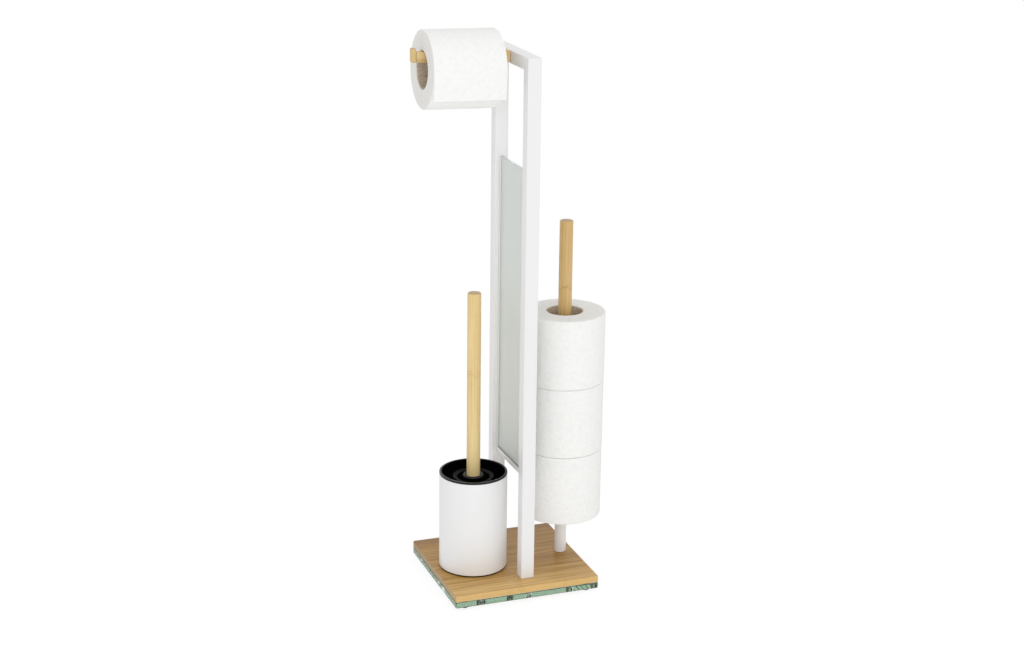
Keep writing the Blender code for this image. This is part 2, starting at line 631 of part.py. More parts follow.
def build_insert(axis):
    """The bucket that lifts out of the sleeve: a lip above, a ledge for the lid, a raised floor."""
    wall = INSERT_WALL
    mouth = MOUTH_RADIUS
    throat = mouth - LEDGE_WIDTH
    foot = throat - INSERT_DRAFT
    bend = INSERT_FLOOR_ROUNDING
    outer_bend = bend + wall
    floor = INSERT_BOTTOM + wall
    bend_centre = (foot - bend, floor + bend)
    raised = floor + RECESS_RISE
    slope = RECESS_RISE * 0.4
    lip = LIP_ROUNDING
    profile = [(0, raised), (RECESS_RADIUS - slope, raised), (RECESS_RADIUS, floor)]
    profile += arc(bend_centre, bend, -90, 0)
    profile += [(throat, LEDGE_TOP), (mouth, LEDGE_TOP), (mouth, LIP_TOP - lip), (mouth + lip, LIP_TOP)]
    profile += arc((SLEEVE_RADIUS - lip, LIP_TOP - lip), lip, 90, 0, 2)
    profile += [(SLEEVE_RADIUS, SLEEVE_TOP + GAP), (mouth + wall, SLEEVE_TOP + GAP)]
    profile += [(mouth + wall, LEDGE_TOP - wall), (throat + wall, LEDGE_TOP - wall)]
    profile += arc(bend_centre, outer_bend, 0, -90)
    hollow = RECESS_RADIUS - wall * 0.4
    profile += [(hollow, INSERT_BOTTOM), (hollow - slope, raised - wall), (0, raised - wall)]
    turned("holder_insert", profile, BLACK_PLASTIC, axis, steps=HOLDER_STEPS)


def build_brush(root):
    axis = add_empty("brush_axis", (HOLDER_X, HOLDER_Y, 0), root)
    build_lid(axis)
    place = (0, 0, HANDLE_BOTTOM)
    bamboo_rod("brush_handle", HANDLE_RADIUS, HANDLE_LENGTH, HANDLE_TOP_ROUNDING, axis, place)
    stud("brush_stud", STEM_TOP - STEM_GRIP + GAP, HANDLE_BOTTOM + STUD_GRIP - GAP, axis, (0, 0))
    build_stem(axis)
    build_bristles(axis)


def build_lid(axis):
    """A round lid with a turned-down edge, a collar above and a socket below for the handle."""
    rim = MOUTH_RADIUS - LID_CLEARANCE
    underside = LID_TOP - LID_THICKNESS
    collar_top = LID_TOP + COLLAR_HEIGHT
    fillet = (COLLAR_TOP_RADIUS - SOCKET_RADIUS) * 0.25
    edge_drop = LID_THICKNESS * 0.6
    profile = [(SOCKET_RADIUS, collar_top), (COLLAR_TOP_RADIUS - fillet, collar_top)]
    profile += [(COLLAR_TOP_RADIUS, collar_top - fillet), (COLLAR_FOOT_RADIUS, LID_TOP)]
    for i in range(4):
        share = i / 3
        profile.append((rim - LID_EDGE_WIDTH * (1 - share), LID_TOP - edge_drop * share ** 2))
    profile += [(rim, underside), (SOCKET_RADIUS + SOCKET_WALL, underside)]
    profile += [(SOCKET_RADIUS + SOCKET_WALL, SOCKET_UNDERSIDE), (STUD_HOLE_RADIUS, SOCKET_UNDERSIDE)]
    profile += [(STUD_HOLE_RADIUS, SOCKET_BASE), (SOCKET_RADIUS, SOCKET_BASE)]
    turned("brush_lid", profile, BLACK_PLASTIC, axis, steps=HOLDER_STEPS, closed=True)


def build_stem(axis):
    """Shoulder under the lid, stem, and the core that the bristles' backing slips over."""
    shoulder_bottom = STEM_TOP - STEM_SHOULDER_HEIGHT
    neck = STEM_SHOULDER_RADIUS - STEM_RADIUS
    flange = CORE_BODY_RADIUS + BACKING_THICKNESS
    hole_bottom = STEM_TOP - STEM_GRIP
    dome = CORE_BODY_RADIUS
    profile = [(0, hole_bottom), (STUD_HOLE_RADIUS, hole_bottom), (STUD_HOLE_RADIUS, STEM_TOP)]
    profile += [(STEM_SHOULDER_RADIUS, STEM_TOP), (STEM_SHOULDER_RADIUS, shoulder_bottom)]
    profile += [(STEM_RADIUS, shoulder_bottom - neck), (STEM_RADIUS, HEAD_TOP + flange - STEM_RADIUS)]
    profile += [(flange, HEAD_TOP + GAP), (CORE_BODY_RADIUS, HEAD_TOP + GAP)]
    profile += arc((0, HEAD_BOTTOM + dome), dome, 0, -90)
    turned("brush_stem", profile, BLACK_PLASTIC, axis, steps=BRISTLES_ROUND)


def build_bristles(axis):
    """Bristles drawn out of the facets of a thin domed backing, one from each facet."""
    bore = CORE_BODY_RADIUS + GAP
    outer = bore + BACKING_THICKNESS - GAP
    dome_z = HEAD_BOTTOM + CORE_BODY_RADIUS
    row_height = (HEAD_TOP - dome_z) / BRISTLE_ROWS
    bm = bmesh.new()
    outside = [(outer, HEAD_TOP - row_height * i) for i in range(BRISTLE_ROWS)]
    outside += arc((0, dome_z), outer, 0, -90, 3)
    inside = arc((0, dome_z), bore, -90, 0, 3) + [(bore, HEAD_TOP)]
    verts = [bm.verts.new((radius, 0, height)) for radius, height in outside + inside]
    for first, second in zip(verts, verts[1:] + verts[:1]):
        bm.edges.new((first, second))
    # the profile runs down the outside to the axis and back up the bore
    axis_edge = bm.edges.get((verts[len(outside) - 1], verts[len(outside)]))
    bm.edges.remove(axis_edge)
    bmesh.ops.spin(
        bm, geom=bm.verts[:] + bm.edges[:], cent=(0, 0, 0), axis=(0, 0, 1), angle=math.tau,
        steps=BRISTLES_ROUND, use_merge=True,
    )
    bmesh.ops.remove_doubles(bm, verts=bm.verts, dist=0.01 * MM)
    bmesh.ops.recalc_face_normals(bm, faces=bm.faces)
    roots = [face for face in bm.faces if is_outside(face, bore, dome_z)]
    roots = bmesh.ops.triangulate(bm, faces=roots)["faces"]
    roots = [face for face in roots if face.calc_area() > 3 * BRISTLE_RADIUS ** 2]
    bmesh.ops.inset_individual(bm, faces=roots, thickness=BRISTLE_RADIUS / 4)
    tips = bmesh.ops.extrude_discrete_faces(bm, faces=shrink_roots(roots))["faces"]
    draw_out(tips, dome_z)
    mesh = bpy.data.meshes.new("brush_bristles")
    bm.to_mesh(mesh)
    bm.free()
    add_piece("brush_bristles", mesh, WHITE_BRISTLE, axis)


def is_outside(face, bore, dome_z):
    """Whether a facet of the backing lies on its outer side, below the flat top."""
    centre = face.calc_center_median()
    reach = math.hypot(centre.x, centre.y, min(centre.z - dome_z, 0))
    return reach > bore and centre.z < HEAD_TOP - GAP


def shrink_roots(roots):
    """Bring each root facet down to a bristle's size about its own middle."""
    for face in roots:
        centre = face.calc_center_median()
        for vert in face.verts:
            vert.co = centre + (vert.co - centre).normalized() * BRISTLE_RADIUS
    return roots


def tip_order(face):
    """A fixed order for the tips: by height, then around the head."""
    centre = face.calc_center_median()
    return round(centre.z / MM, 2), round(math.atan2(centre.y, centre.x), 3)


def draw_out(tips, dome_z):
    """Move the tip facets out to the head's rounded envelope, each a little uneven."""
    chance = random.Random(BRISTLE_SEED)
    for face in sorted(tips, key=tip_order):
        centre = face.calc_center_median()
        below = min(centre.z - dome_z, 0)
        outward = Vector((centre.x, centre.y, below)).normalized()
        depth = HEAD_BOTTOM - BRISTLE_TIP_DROP
        down = dome_z - depth
        stretch = 1 / math.hypot(math.hypot(outward.x, outward.y) / BRISTLE_REACH, outward.z / down)
        uneven = 1 - BRISTLE_UNEVENNESS * chance.random()
        place = Vector((0, 0, max(centre.z, dome_z))) + outward * stretch * uneven
        for vert in face.verts:
            vert.co = place + (vert.co - centre) * BRISTLE_TIP_SCALE


clear_scene()
PIECES = make_collection("toilet_brush_stand")
CUTTERS = make_collection("cutters")
WHITE_STEEL = make_material("white_painted_steel", (0.80, 0.80, 0.80), 0.35)
STEEL = make_material("zinc_plated_steel", (0.55, 0.55, 0.54), 0.35, 1.0)
BAMBOO = make_material("bamboo", (0.58, 0.38, 0.18), 0.5)
GLASS = make_material("base_glass", (0.35, 0.52, 0.44), 0.05, alpha=0.6)
FROSTED_GLASS = make_material("frosted_glass", (0.64, 0.68, 0.64), 0.6, alpha=0.9)
CLEAR_RUBBER = make_material("clear_rubber", (0.62, 0.64, 0.62), 0.4, alpha=0.7)
BLACK_RUBBER = make_material("black_rubber", (0.01, 0.01, 0.01), 0.6)
BLACK_PLASTIC = make_material("black_plastic", (0.006, 0.006, 0.006), 0.2)
WHITE_BRISTLE = make_material("white_bristle", (0.75, 0.75, 0.73), 0.5)
PAPER = make_material("tissue_paper", (0.86, 0.86, 0.85), 0.9)
CARDBOARD = make_material("cardboard", (0.33, 0.26, 0.20), 0.9)

STAND = add_empty("stand_centre", (BASE_X, 0, 0))
build_base(STAND)
build_frame(STAND)
build_pane(STAND)
build_arm(STAND)
build_pole(STAND)
build_rolls(STAND)
build_holder(STAND)
build_brush(STAND)
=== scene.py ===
import json
import math
import random

import bmesh
import bpy
from mathutils import Matrix, Vector, noise


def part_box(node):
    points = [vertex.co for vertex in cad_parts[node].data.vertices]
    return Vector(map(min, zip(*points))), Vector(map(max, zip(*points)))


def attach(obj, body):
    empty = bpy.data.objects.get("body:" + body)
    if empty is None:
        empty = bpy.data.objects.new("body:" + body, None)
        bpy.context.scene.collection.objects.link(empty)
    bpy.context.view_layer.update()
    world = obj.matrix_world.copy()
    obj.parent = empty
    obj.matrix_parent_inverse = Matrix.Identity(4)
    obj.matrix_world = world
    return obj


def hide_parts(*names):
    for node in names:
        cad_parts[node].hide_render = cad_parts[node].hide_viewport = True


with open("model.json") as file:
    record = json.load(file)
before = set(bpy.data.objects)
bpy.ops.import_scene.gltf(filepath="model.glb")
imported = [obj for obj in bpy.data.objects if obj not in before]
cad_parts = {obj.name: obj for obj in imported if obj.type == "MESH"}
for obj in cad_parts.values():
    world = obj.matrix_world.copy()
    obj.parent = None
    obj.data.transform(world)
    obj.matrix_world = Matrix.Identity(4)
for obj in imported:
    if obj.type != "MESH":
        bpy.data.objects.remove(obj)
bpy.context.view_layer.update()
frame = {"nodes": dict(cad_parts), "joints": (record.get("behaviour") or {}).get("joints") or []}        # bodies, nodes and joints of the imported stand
mm = 0.001
print("stage: frame loaded,", len(frame["nodes"]), "nodes")


def fromHex(code):
    # sRGB hex to the linear colour that Blender's sockets take
    values = [int(code[i:i + 2], 16) / 255 for i in (0, 2, 4)]
    linear = [v / 12.92 if v <= 0.04045 else ((v + 0.055) / 1.055) ** 2.4 for v in values]
    return linear + [1.0]


def addNode(tree, kind, inputs=None, stops=(), into=None, **settings):
    # one node with its settings; an input is a plain value, a socket or a node, which gives its first output
    node = tree.nodes.new(kind)
    for name, value in settings.items():
        setattr(node, name, value)
    for name, value in (inputs or {}).items():
        if isinstance(name, int):
            socket = node.inputs[name]
        else:
            socket = [part for part in node.inputs if part.name == name and part.enabled][0]
        if isinstance(value, bpy.types.Node):
            value = [part for part in value.outputs if part.enabled][0]
        if isinstance(value, bpy.types.NodeSocket):
            tree.links.new(value, socket)
        else:
            socket.default_value = value
    for i, (position, code) in enumerate(stops):
        ramp = node.color_ramp.elements
        stop = ramp[i] if i < len(ramp) else ramp.new(position)
        stop.position = position
        stop.color = fromHex(code)
    if into:
        tree.links.new([part for part in node.outputs if part.enabled][0], into)
    return node


def newMaterial(name, **sockets):
    # a Principled material with its constants set, and the coordinates that its patterns are placed by
    material = bpy.data.materials.new(name)
    material.use_nodes = True
    tree = material.node_tree
    shader = tree.nodes["Principled BSDF"]
    for socket, value in sockets.items():
        shader.inputs[socket.replace("_", " ")].default_value = value
    place = addNode(tree, "ShaderNodeTexCoord")
    return material, tree, shader, place


def levels(node):
    # how high a CAD node begins and ends
    low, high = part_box(node)
    return low[2], high[2]


coat = {"colour": "EDEDED", "roughness": 0.38, "peel": 1.1 * mm, "depth": 0.02 * mm}


def powderCoatedSteel():
    # polyester powder, baked on: satin, with a faint orange peel that breaks up its highlights
    material, tree, shader, place = newMaterial(
        "powder_coated_steel_white", Base_Color=fromHex(coat["colour"]), Roughness=coat["roughness"]
    )
    peel = addNode(
        tree, "ShaderNodeTexNoise",
        {"Vector": place.outputs["Object"], "Scale": 1 / coat["peel"], "Detail": 1.0},
    )
    addNode(
        tree, "ShaderNodeBump", {"Height": peel, "Distance": coat["depth"]}, into=shader.inputs["Normal"]
    )
    return material


bamboo = {
    "roughness": 0.42, "depth": 0.02 * mm,
    # the width, length and detail of each layer of the grain
    "fibre": (0.8 * mm, 70 * mm, 3.0),
    "streak": (2.6 * mm, 120 * mm, 2.0),
    "vessel": (0.7 * mm, 14 * mm, 2.0),
    "fibreShare": 0.4, "contrast": 0.7, "toneStops": (0.30, 0.50, 0.68),
    "vesselEdge": (0.58, 0.74), "vesselShare": 0.35, "endTilt": (0.7, 0.95), "endGrain": 0.65,
    # the last two are painted light: the board lighter towards the front, where less shade falls, and on
    # faces that look to the front
    "strip": 19 * mm, "stripTone": 0.06, "paintedFrontLight": 1.2, "paintedFrontFaceLight": 0.08,
    # the culm nodes: how high along each piece, and how their flecks look
    "marks": {"board": [-12 * mm], "rod": [287 * mm], "pole": [390.5 * mm]},
    "markHeight": 6.5 * mm, "markFleck": 2 * mm, "markSmear": 0.6, "markEdge": (0.54, 0.66),
    "markShare": 1.3, "boardMark": 0.4,
    "tones": {
        "board": ["7A5521", "A77A2E", "DBB471"],
        "rod": ["CBA35F", "E7CC90", "F0DCA4"],
        "pole": ["AD854A", "D4B074", "DFC184"],
        "bar": ["B9925A", "E6C78C", "F0D6A0"],
        "block": ["B58D54", "DCBB80", "E6C992"],
    },
    "endTone": "9C8662",
}


def bambooWood(name, tones, along, board=False):
    # bamboo under a matt lacquer: long straight fibres along one axis, short dark vessels,
    # flecks at a culm node, duller end grain
    material, tree, shader, place = newMaterial(name, Roughness=bamboo["roughness"])
    dark, usual, light = bamboo["tones"][tones]
    grain = {}
    for layer in ("fibre", "streak", "vessel"):
        width, length, detail = bamboo[layer]
        scale = [1 / width] * 3
        scale[along] = 1 / length
        stretched = addNode(
            tree, "ShaderNodeVectorMath", {0: place.outputs["Object"], 1: scale}, operation="MULTIPLY"
        )
        grain[layer] = addNode(
            tree, "ShaderNodeTexNoise", {"Vector": stretched, "Scale": 1.0, "Detail": detail}
        )
    tone = addNode(
        tree, "ShaderNodeMix",
        {"Factor": bamboo["fibreShare"], "A": grain["streak"], "B": grain["fibre"]},
    )
    tone = addNode(tree, "ShaderNodeMix", {"Factor": bamboo["contrast"], "A": 0.5, "B": tone})
    spot = addNode(tree, "ShaderNodeSeparateXYZ", {"Vector": place.outputs["Object"]})
    facing = addNode(tree, "ShaderNodeSeparateXYZ", {"Vector": place.outputs["Normal"]})
    if board:
        # each glued strip has its own tone; painted light makes the board lighter towards the front, where
        # less shade falls on it, and lighter still on faces that look to the front, where the light comes
        # from
        row = addNode(
            tree, "ShaderNodeMath", {0: spot.outputs["Y"], 1: bamboo["strip"]}, operation="DIVIDE"
        )
        index = addNode(tree, "ShaderNodeMath", {0: row}, operation="FLOOR")
        chance = addNode(tree, "ShaderNodeTexWhiteNoise", {"W": index}, noise_dimensions="1D")
        for value, share in (
            (chance, bamboo["stripTone"]), (spot.outputs["Y"], -bamboo["paintedFrontLight"]),
            (facing.outputs["Y"], -bamboo["paintedFrontFaceLight"]),
        ):
            tone = addNode(tree, "ShaderNodeMath", {0: value, 1: share, 2: tone}, operation="MULTIPLY_ADD")
    stops = list(zip(bamboo["toneStops"], (dark, usual, light)))
    colour = addNode(tree, "ShaderNodeValToRGB", {"Fac": tone}, stops=stops)
    low, high = bamboo["vesselEdge"]
    vessels = addNode(
        tree, "ShaderNodeMapRange",
        {"Value": grain["vessel"], "From Min": low, "From Max": high, "To Max": bamboo["vesselShare"]},
    )
    colour = addNode(
        tree, "ShaderNodeMix", {"Factor": vessels, "A": colour, "B": fromHex(dark)}, data_type="RGBA"
    )
    strength = bamboo["markShare"] * (bamboo["boardMark"] if board else 1)
    low, high = bamboo["markEdge"]
    for position in bamboo["marks"].get(tones, []):
        away = addNode(tree, "ShaderNodeMath", {0: spot.outputs[along], 1: position}, operation="SUBTRACT")
        away = addNode(tree, "ShaderNodeMath", {0: away}, operation="ABSOLUTE")
        near = addNode(
            tree, "ShaderNodeMapRange",
            {"Value": away, "From Max": bamboo["markHeight"], "To Min": strength, "To Max": 0.0},
        )
        fleck = addNode(
            tree, "ShaderNodeTexNoise",
            {
                "Vector": place.outputs["Object"], "Scale": 1 / bamboo["markFleck"], "Detail": 1.0,
                "Distortion": bamboo["markSmear"],
            },
        )
        sharp = addNode(tree, "ShaderNodeMapRange", {"Value": fleck, "From Min": low, "From Max": high})
        share = addNode(tree, "ShaderNodeMath", {0: near, 1: sharp}, operation="MULTIPLY")
        colour = addNode(
            tree, "ShaderNodeMix", {"Factor": share, "A": colour, "B": fromHex(dark)}, data_type="RGBA"
        )
    ends = addNode(tree, "ShaderNodeMath", {0: facing.outputs[along]}, operation="ABSOLUTE")
    low, high = bamboo["endTilt"]
    ends = addNode(
        tree, "ShaderNodeMapRange",
        {"Value": ends, "From Min": low, "From Max": high, "To Max": bamboo["endGrain"]},
    )
    addNode(
        tree, "ShaderNodeMix", {"Factor": ends, "A": colour, "B": fromHex(bamboo["endTone"])},
        data_type="RGBA", into=shader.inputs["Base Color"],
    )
    addNode(
        tree, "ShaderNodeBump", {"Height": grain["fibre"], "Distance": bamboo["depth"]},
        into=shader.inputs["Normal"],
    )
    return material


tissue = {
    "colour": "F6F6F4", "cutColour": "F0EFEC", "roughness": 0.95, "specular": 0.1,
    "dot": 3.2 * mm, "scatter": 0.6, "crepe": 0.6 * mm, "crease": 5 * mm, "crumple": 0.4,
    "layer": 0.45 * mm,
    "depth": 0.4 * mm, "strength": 0.6, "crepeShare": 0.3, "creaseShare": 3.5, "layerShare": 0.9,
    # painted shade in the creases: its tone, its share, and the crease depths where it starts and where it
    # is full
    "paintedCreaseShadeTone": "DEDDDA", "paintedCreaseShade": 0.16, "hollow": (0.52, 0.34),
}


def tissuePaper():
    # soft creped tissue: dull, dotted with embossing, softly creased, its wound layers showing at both ends;
    # its creases are darkened as painted shade
    material, tree, shader, place = newMaterial(
        "tissue_paper_white", Roughness=tissue["roughness"], Specular_IOR_Level=tissue["specular"]
    )
    spot = place.outputs["Object"]
    cut = addNode(tree, "ShaderNodeAttribute", attribute_name="cutEnd")
    colour = addNode(
        tree, "ShaderNodeMix",
        {"Factor": cut.outputs["Fac"], "A": fromHex(tissue["colour"]), "B": fromHex(tissue["cutColour"])},
        data_type="RGBA",
    )
    height = addNode(
        tree, "ShaderNodeTexVoronoi",
        {"Vector": spot, "Scale": 1 / tissue["dot"], "Randomness": tissue["scatter"]}, feature="SMOOTH_F1",
    )
    crepe = addNode(
        tree, "ShaderNodeTexNoise", {"Vector": spot, "Scale": 1 / tissue["crepe"], "Detail": 2.0}
    )
    crease = addNode(
        tree, "ShaderNodeTexNoise",
        {"Vector": spot, "Scale": 1 / tissue["crease"], "Detail": 3.0, "Distortion": tissue["crumple"]},
    )
    edge, deep = tissue["hollow"]
    # painted shade: the colour darkens in the deeper creases
    paintedCreaseShade = addNode(
        tree, "ShaderNodeMapRange",
        {"Value": crease, "From Min": edge, "From Max": deep, "To Max": tissue["paintedCreaseShade"]},
    )
    addNode(
        tree, "ShaderNodeMix", {"Factor": paintedCreaseShade, "A": colour, "B": fromHex(tissue["paintedCreaseShadeTone"])},
        data_type="RGBA", into=shader.inputs["Base Color"],
    )
    radius = addNode(tree, "ShaderNodeAttribute", attribute_name="windingRadius")
    turns = addNode(
        tree, "ShaderNodeMath", {0: radius.outputs["Fac"], 1: tissue["layer"]}, operation="DIVIDE"
    )
    layers = addNode(
        tree, "ShaderNodeTexNoise", {"W": turns, "Scale": 1.0, "Detail": 2.0}, noise_dimensions="1D"
    )
    for part, share in ((crepe, "crepeShare"), (crease, "creaseShare"), (layers, "layerShare")):
        height = addNode(
            tree, "ShaderNodeMath", {0: part, 1: tissue[share], 2: height}, operation="MULTIPLY_ADD"
        )
    addNode(
        tree, "ShaderNodeBump",
        {"Height": height, "Distance": tissue["depth"], "Strength": tissue["strength"]},
        into=shader.inputs["Normal"],
    )
    return material


board = {
    "tones": ["AB9A86", "DACDBC"], "toneStops": (0.35, 0.62), "mottle": 1.6 * mm, "depth": 0.05 * mm,
    "speck": 2.2 * mm, "speckTone": "7B6A57", "speckEdge": (0.64, 0.7), "speckShare": 0.6,
    "roughness": 0.9, "specular": 0.2,
}


def greyBoard():
    # recycled grey board: dull, mottled, with dark specks and stray fibres
    material, tree, shader, place = newMaterial(
        "grey_board", Roughness=board["roughness"], Specular_IOR_Level=board["specular"]
    )
    spot = place.outputs["Object"]
    mottle = addNode(
        tree, "ShaderNodeTexNoise", {"Vector": spot, "Scale": 1 / board["mottle"], "Detail": 4.0}
    )
    stops = list(zip(board["toneStops"], board["tones"]))
    colour = addNode(tree, "ShaderNodeValToRGB", {"Fac": mottle}, stops=stops)
    speck = addNode(
        tree, "ShaderNodeTexNoise", {"Vector": spot, "Scale": 1 / board["speck"], "Detail": 2.0}
    )
    low, high = board["speckEdge"]
    speck = addNode(
        tree, "ShaderNodeMapRange",
        {"Value": speck, "From Min": low, "From Max": high, "To Max": board["speckShare"]},
    )
    addNode(
        tree, "ShaderNodeMix", {"Factor": speck, "A": colour, "B": fromHex(board["speckTone"])},
        data_type="RGBA", into=shader.inputs["Base Color"],
    )
    addNode(
        tree, "ShaderNodeBump", {"Height": mottle, "Distance": board["depth"]}, into=shader.inputs["Normal"]
    )
    return material


polypropylene = {"ripple": 6 * mm, "depth": 0.01 * mm}


def blackPolypropylene(name, code, roughness, specular):
    # moulded polypropylene, faintly rippled; its copies differ in sheen, and the copy with no reflection is
    # painted shade
    material, tree, shader, place = newMaterial(
        name, Base_Color=fromHex(code), Roughness=roughness, IOR=1.49, Specular_IOR_Level=specular
    )
    ripple = addNode(
        tree, "ShaderNodeTexNoise",
        {"Vector": place.outputs["Object"], "Scale": 1 / polypropylene["ripple"]},
    )
    addNode(
        tree, "ShaderNodeBump", {"Height": ripple, "Distance": polypropylene["depth"]},
        into=shader.inputs["Normal"],
    )
    return material


etched = {
    "colour": "F3F7F3", "lowColour": "B5D2C6", "lowHeights": (3 * mm, 9 * mm), "lowShare": 0.8,
    "roughness": 0.5, "transmission": 0.35, "grain": 0.25 * mm, "depth": 0.01 * mm,
}


def etchedGlass():
    # acid-etched float glass: milky, faintly green, most so low down; light comes through but no shapes
    material, tree, shader, place = newMaterial(
        "etched_glass", Roughness=etched["roughness"], Transmission_Weight=etched["transmission"], IOR=1.52
    )
    spot = addNode(tree, "ShaderNodeSeparateXYZ", {"Vector": place.outputs["Object"]})
    bottom = levels("glass_pane")[0]
    below, above = etched["lowHeights"]
    low = addNode(
        tree, "ShaderNodeMapRange",
        {
            "Value": spot.outputs["Z"], "From Min": bottom + below, "From Max": bottom + above,
            "To Min": etched["lowShare"], "To Max": 0.0,
        },
    )
    addNode(
        tree, "ShaderNodeMix",
        {"Factor": low, "A": fromHex(etched["colour"]), "B": fromHex(etched["lowColour"])},
        data_type="RGBA", into=shader.inputs["Base Color"],
    )
    grain = addNode(
        tree, "ShaderNodeTexNoise",
        {"Vector": place.outputs["Object"], "Scale": 1 / etched["grain"], "Detail": 2.0},
    )
    addNode(
        tree, "ShaderNodeBump", {"Height": grain, "Distance": etched["depth"]}, into=shader.inputs["Normal"]
    )
    return material


clear = {
    "absorb": "66AE70", "density": 7.4, "wave": 60 * mm, "depth": 0.01 * mm, "bounces": 16,
    # the painted shade tone of the arrises, and the tilt of the faces that take it
    "groundShadeTone": "5F6B50", "groundTilt": (0.3, 0.9),
}


def floatGlass():
    # polished float glass: clear through its face, green along its edge from the iron in it
    material, tree, shader, place = newMaterial(
        "float_glass", Base_Color=fromHex("FFFFFF"), Roughness=0.02, Transmission_Weight=1.0, IOR=1.52
    )
    addNode(
        tree, "ShaderNodeVolumeAbsorption",
        {"Color": fromHex(clear["absorb"]), "Density": clear["density"]},
        into=tree.nodes["Material Output"].inputs["Volume"],
    )
    wave = addNode(
        tree, "ShaderNodeTexNoise",
        {"Vector": place.outputs["Object"], "Scale": 1 / clear["wave"], "Detail": 0.0},
    )
    addNode(
        tree, "ShaderNodeBump", {"Height": wave, "Distance": clear["depth"]}, into=shader.inputs["Normal"]
    )
    return material


def moulded(name, code, roughness, grain, depth, **sockets):
    # plain cast, moulded or drawn stock with a fine even grain
    material, tree, shader, place = newMaterial(
        name, Base_Color=fromHex(code), Roughness=roughness, **sockets
    )
    texture = addNode(
        tree, "ShaderNodeTexNoise", {"Vector": place.outputs["Object"], "Scale": 1 / grain, "Detail": 2.0}
    )
    addNode(tree, "ShaderNodeBump", {"Height": texture, "Distance": depth}, into=shader.inputs["Normal"])
    return material


whiteSteel = powderCoatedSteel()
boardBamboo = bambooWood("bamboo_board_lacquered", "board", along=0, board=True)
handleBamboo = bambooWood("bamboo_rod_handle", "rod", along=2)
poleBamboo = bambooWood("bamboo_rod_pole", "pole", along=2)
barBamboo = bambooWood("bamboo_bar", "bar", along=0)
blockBamboo = bambooWood("bamboo_block", "block", along=2)
paper = tissuePaper()
cardboard = greyBoard()
glossPlastic = blackPolypropylene("gloss_polypropylene_black", "0A0A0B", roughness=0.24, specular=0.4)
# the same plastic with its reflection taken out: painted shade inside the cup and on the lid
shadedPlastic = blackPolypropylene("black_polypropylene_painted_shade", "050505", roughness=0.6, specular=0.0)
satinPlastic = blackPolypropylene("satin_polypropylene_black", "0A0A0B", roughness=0.42, specular=0.34)
dullPlastic = blackPolypropylene("dull_polypropylene_black", "050505", roughness=0.5, specular=0.07)
paneGlass = etchedGlass()
baseGlass = floatGlass()
# cast polyurethane bumpers: cloudy, their grey darkened as painted shade under the glass plate; extruded
# glazing vinyl: milky white
footPlastic = moulded(
    "clear_polyurethane", "484D49", roughness=0.3, grain=1.5 * mm, depth=0.01 * mm,
    Transmission_Weight=0.1, IOR=1.46,
)
stripPlastic = moulded(
    "milky_glazing_vinyl", "F0F2EF", roughness=0.4, grain=1.5 * mm, depth=0.01 * mm,
    Transmission_Weight=0.1, IOR=1.46,
)
# a ground arris on glass: dull, and painted dark green-grey as the shade in the gaps along the plate's edges
groundEdgeShade = moulded(
    "ground_glass_edge_painted_shade", clear["groundShadeTone"], roughness=0.6, grain=0.4 * mm, depth=0.01 * mm
)
# cured rubber: dull black, and the same black paints the shade inside the rail's channel; zinc plate: satin
# grey metal; drawn nylon: white, a little waxy
rubberAndRailShade = moulded(
    "black_rubber", "070707", roughness=0.8, grain=0.4 * mm, depth=0.02 * mm, Specular_IOR_Level=0.1
)
zincSteel = moulded(
    "zinc_plated_steel", "B9BBBC", roughness=0.34, grain=0.3 * mm, depth=0.01 * mm, Metallic=1.0
)
nylon = moulded(
    "white_nylon_bristle", "F2F2EE", roughness=0.4, grain=0.5 * mm, depth=0.005 * mm, Subsurface_Weight=0.1
)
print("stage: materials made")


def dress(names, material):
    # a CAD node keeps its shape and gets its finish
    for name in names:
        piece = frame["nodes"][name]
        if not piece.material_slots:
            piece.data.materials.append(material)
        for slot in piece.material_slots:
            slot.material = material


def finishPiece(name, bm, materials, body, nodes=(), smooth=40):
    # the bmesh becomes an object at the origin that rides on its body
    mesh = bpy.data.meshes.new(name)
    bm.to_mesh(mesh)
    bm.free()
    mesh.shade_smooth()
    mesh.set_sharp_from_angle(angle=math.radians(smooth))
    for material in materials:
        mesh.materials.append(material)
    piece = bpy.data.objects.new(name, mesh)
    bpy.context.scene.collection.objects.link(piece)
    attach(piece, body)
    if nodes:
        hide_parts(*nodes)
    return piece


def middle(node):
    low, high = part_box(node)
    return (Vector(low) + Vector(high)) / 2


def radiusOf(node):
    low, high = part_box(node)
    return (high[0] - low[0]) / 2


def placeAt(bm, point):
    bmesh.ops.translate(bm, vec=(point.x, point.y, 0), verts=bm.verts)
    return bm


turned = {"steps": 128, "rodSteps": 64, "merge": 0.002 * mm, "level": 0.01 * mm, "sharp": 35}


def arc(centre, reach, start, end, steps):
    # points round part of a circle or an ellipse, turned in degrees up from the outward radius;
    # they are rounded, so that a point on the axis lies just on it
    points = []
    for i in range(steps + 1):
        turn = math.radians(start + (end - start) * i / steps)
        radius, height = centre[0] + reach[0] * math.cos(turn), centre[1] + reach[1] * math.sin(turn)
        points.append((round(radius, 9), round(height, 9)))
    return points


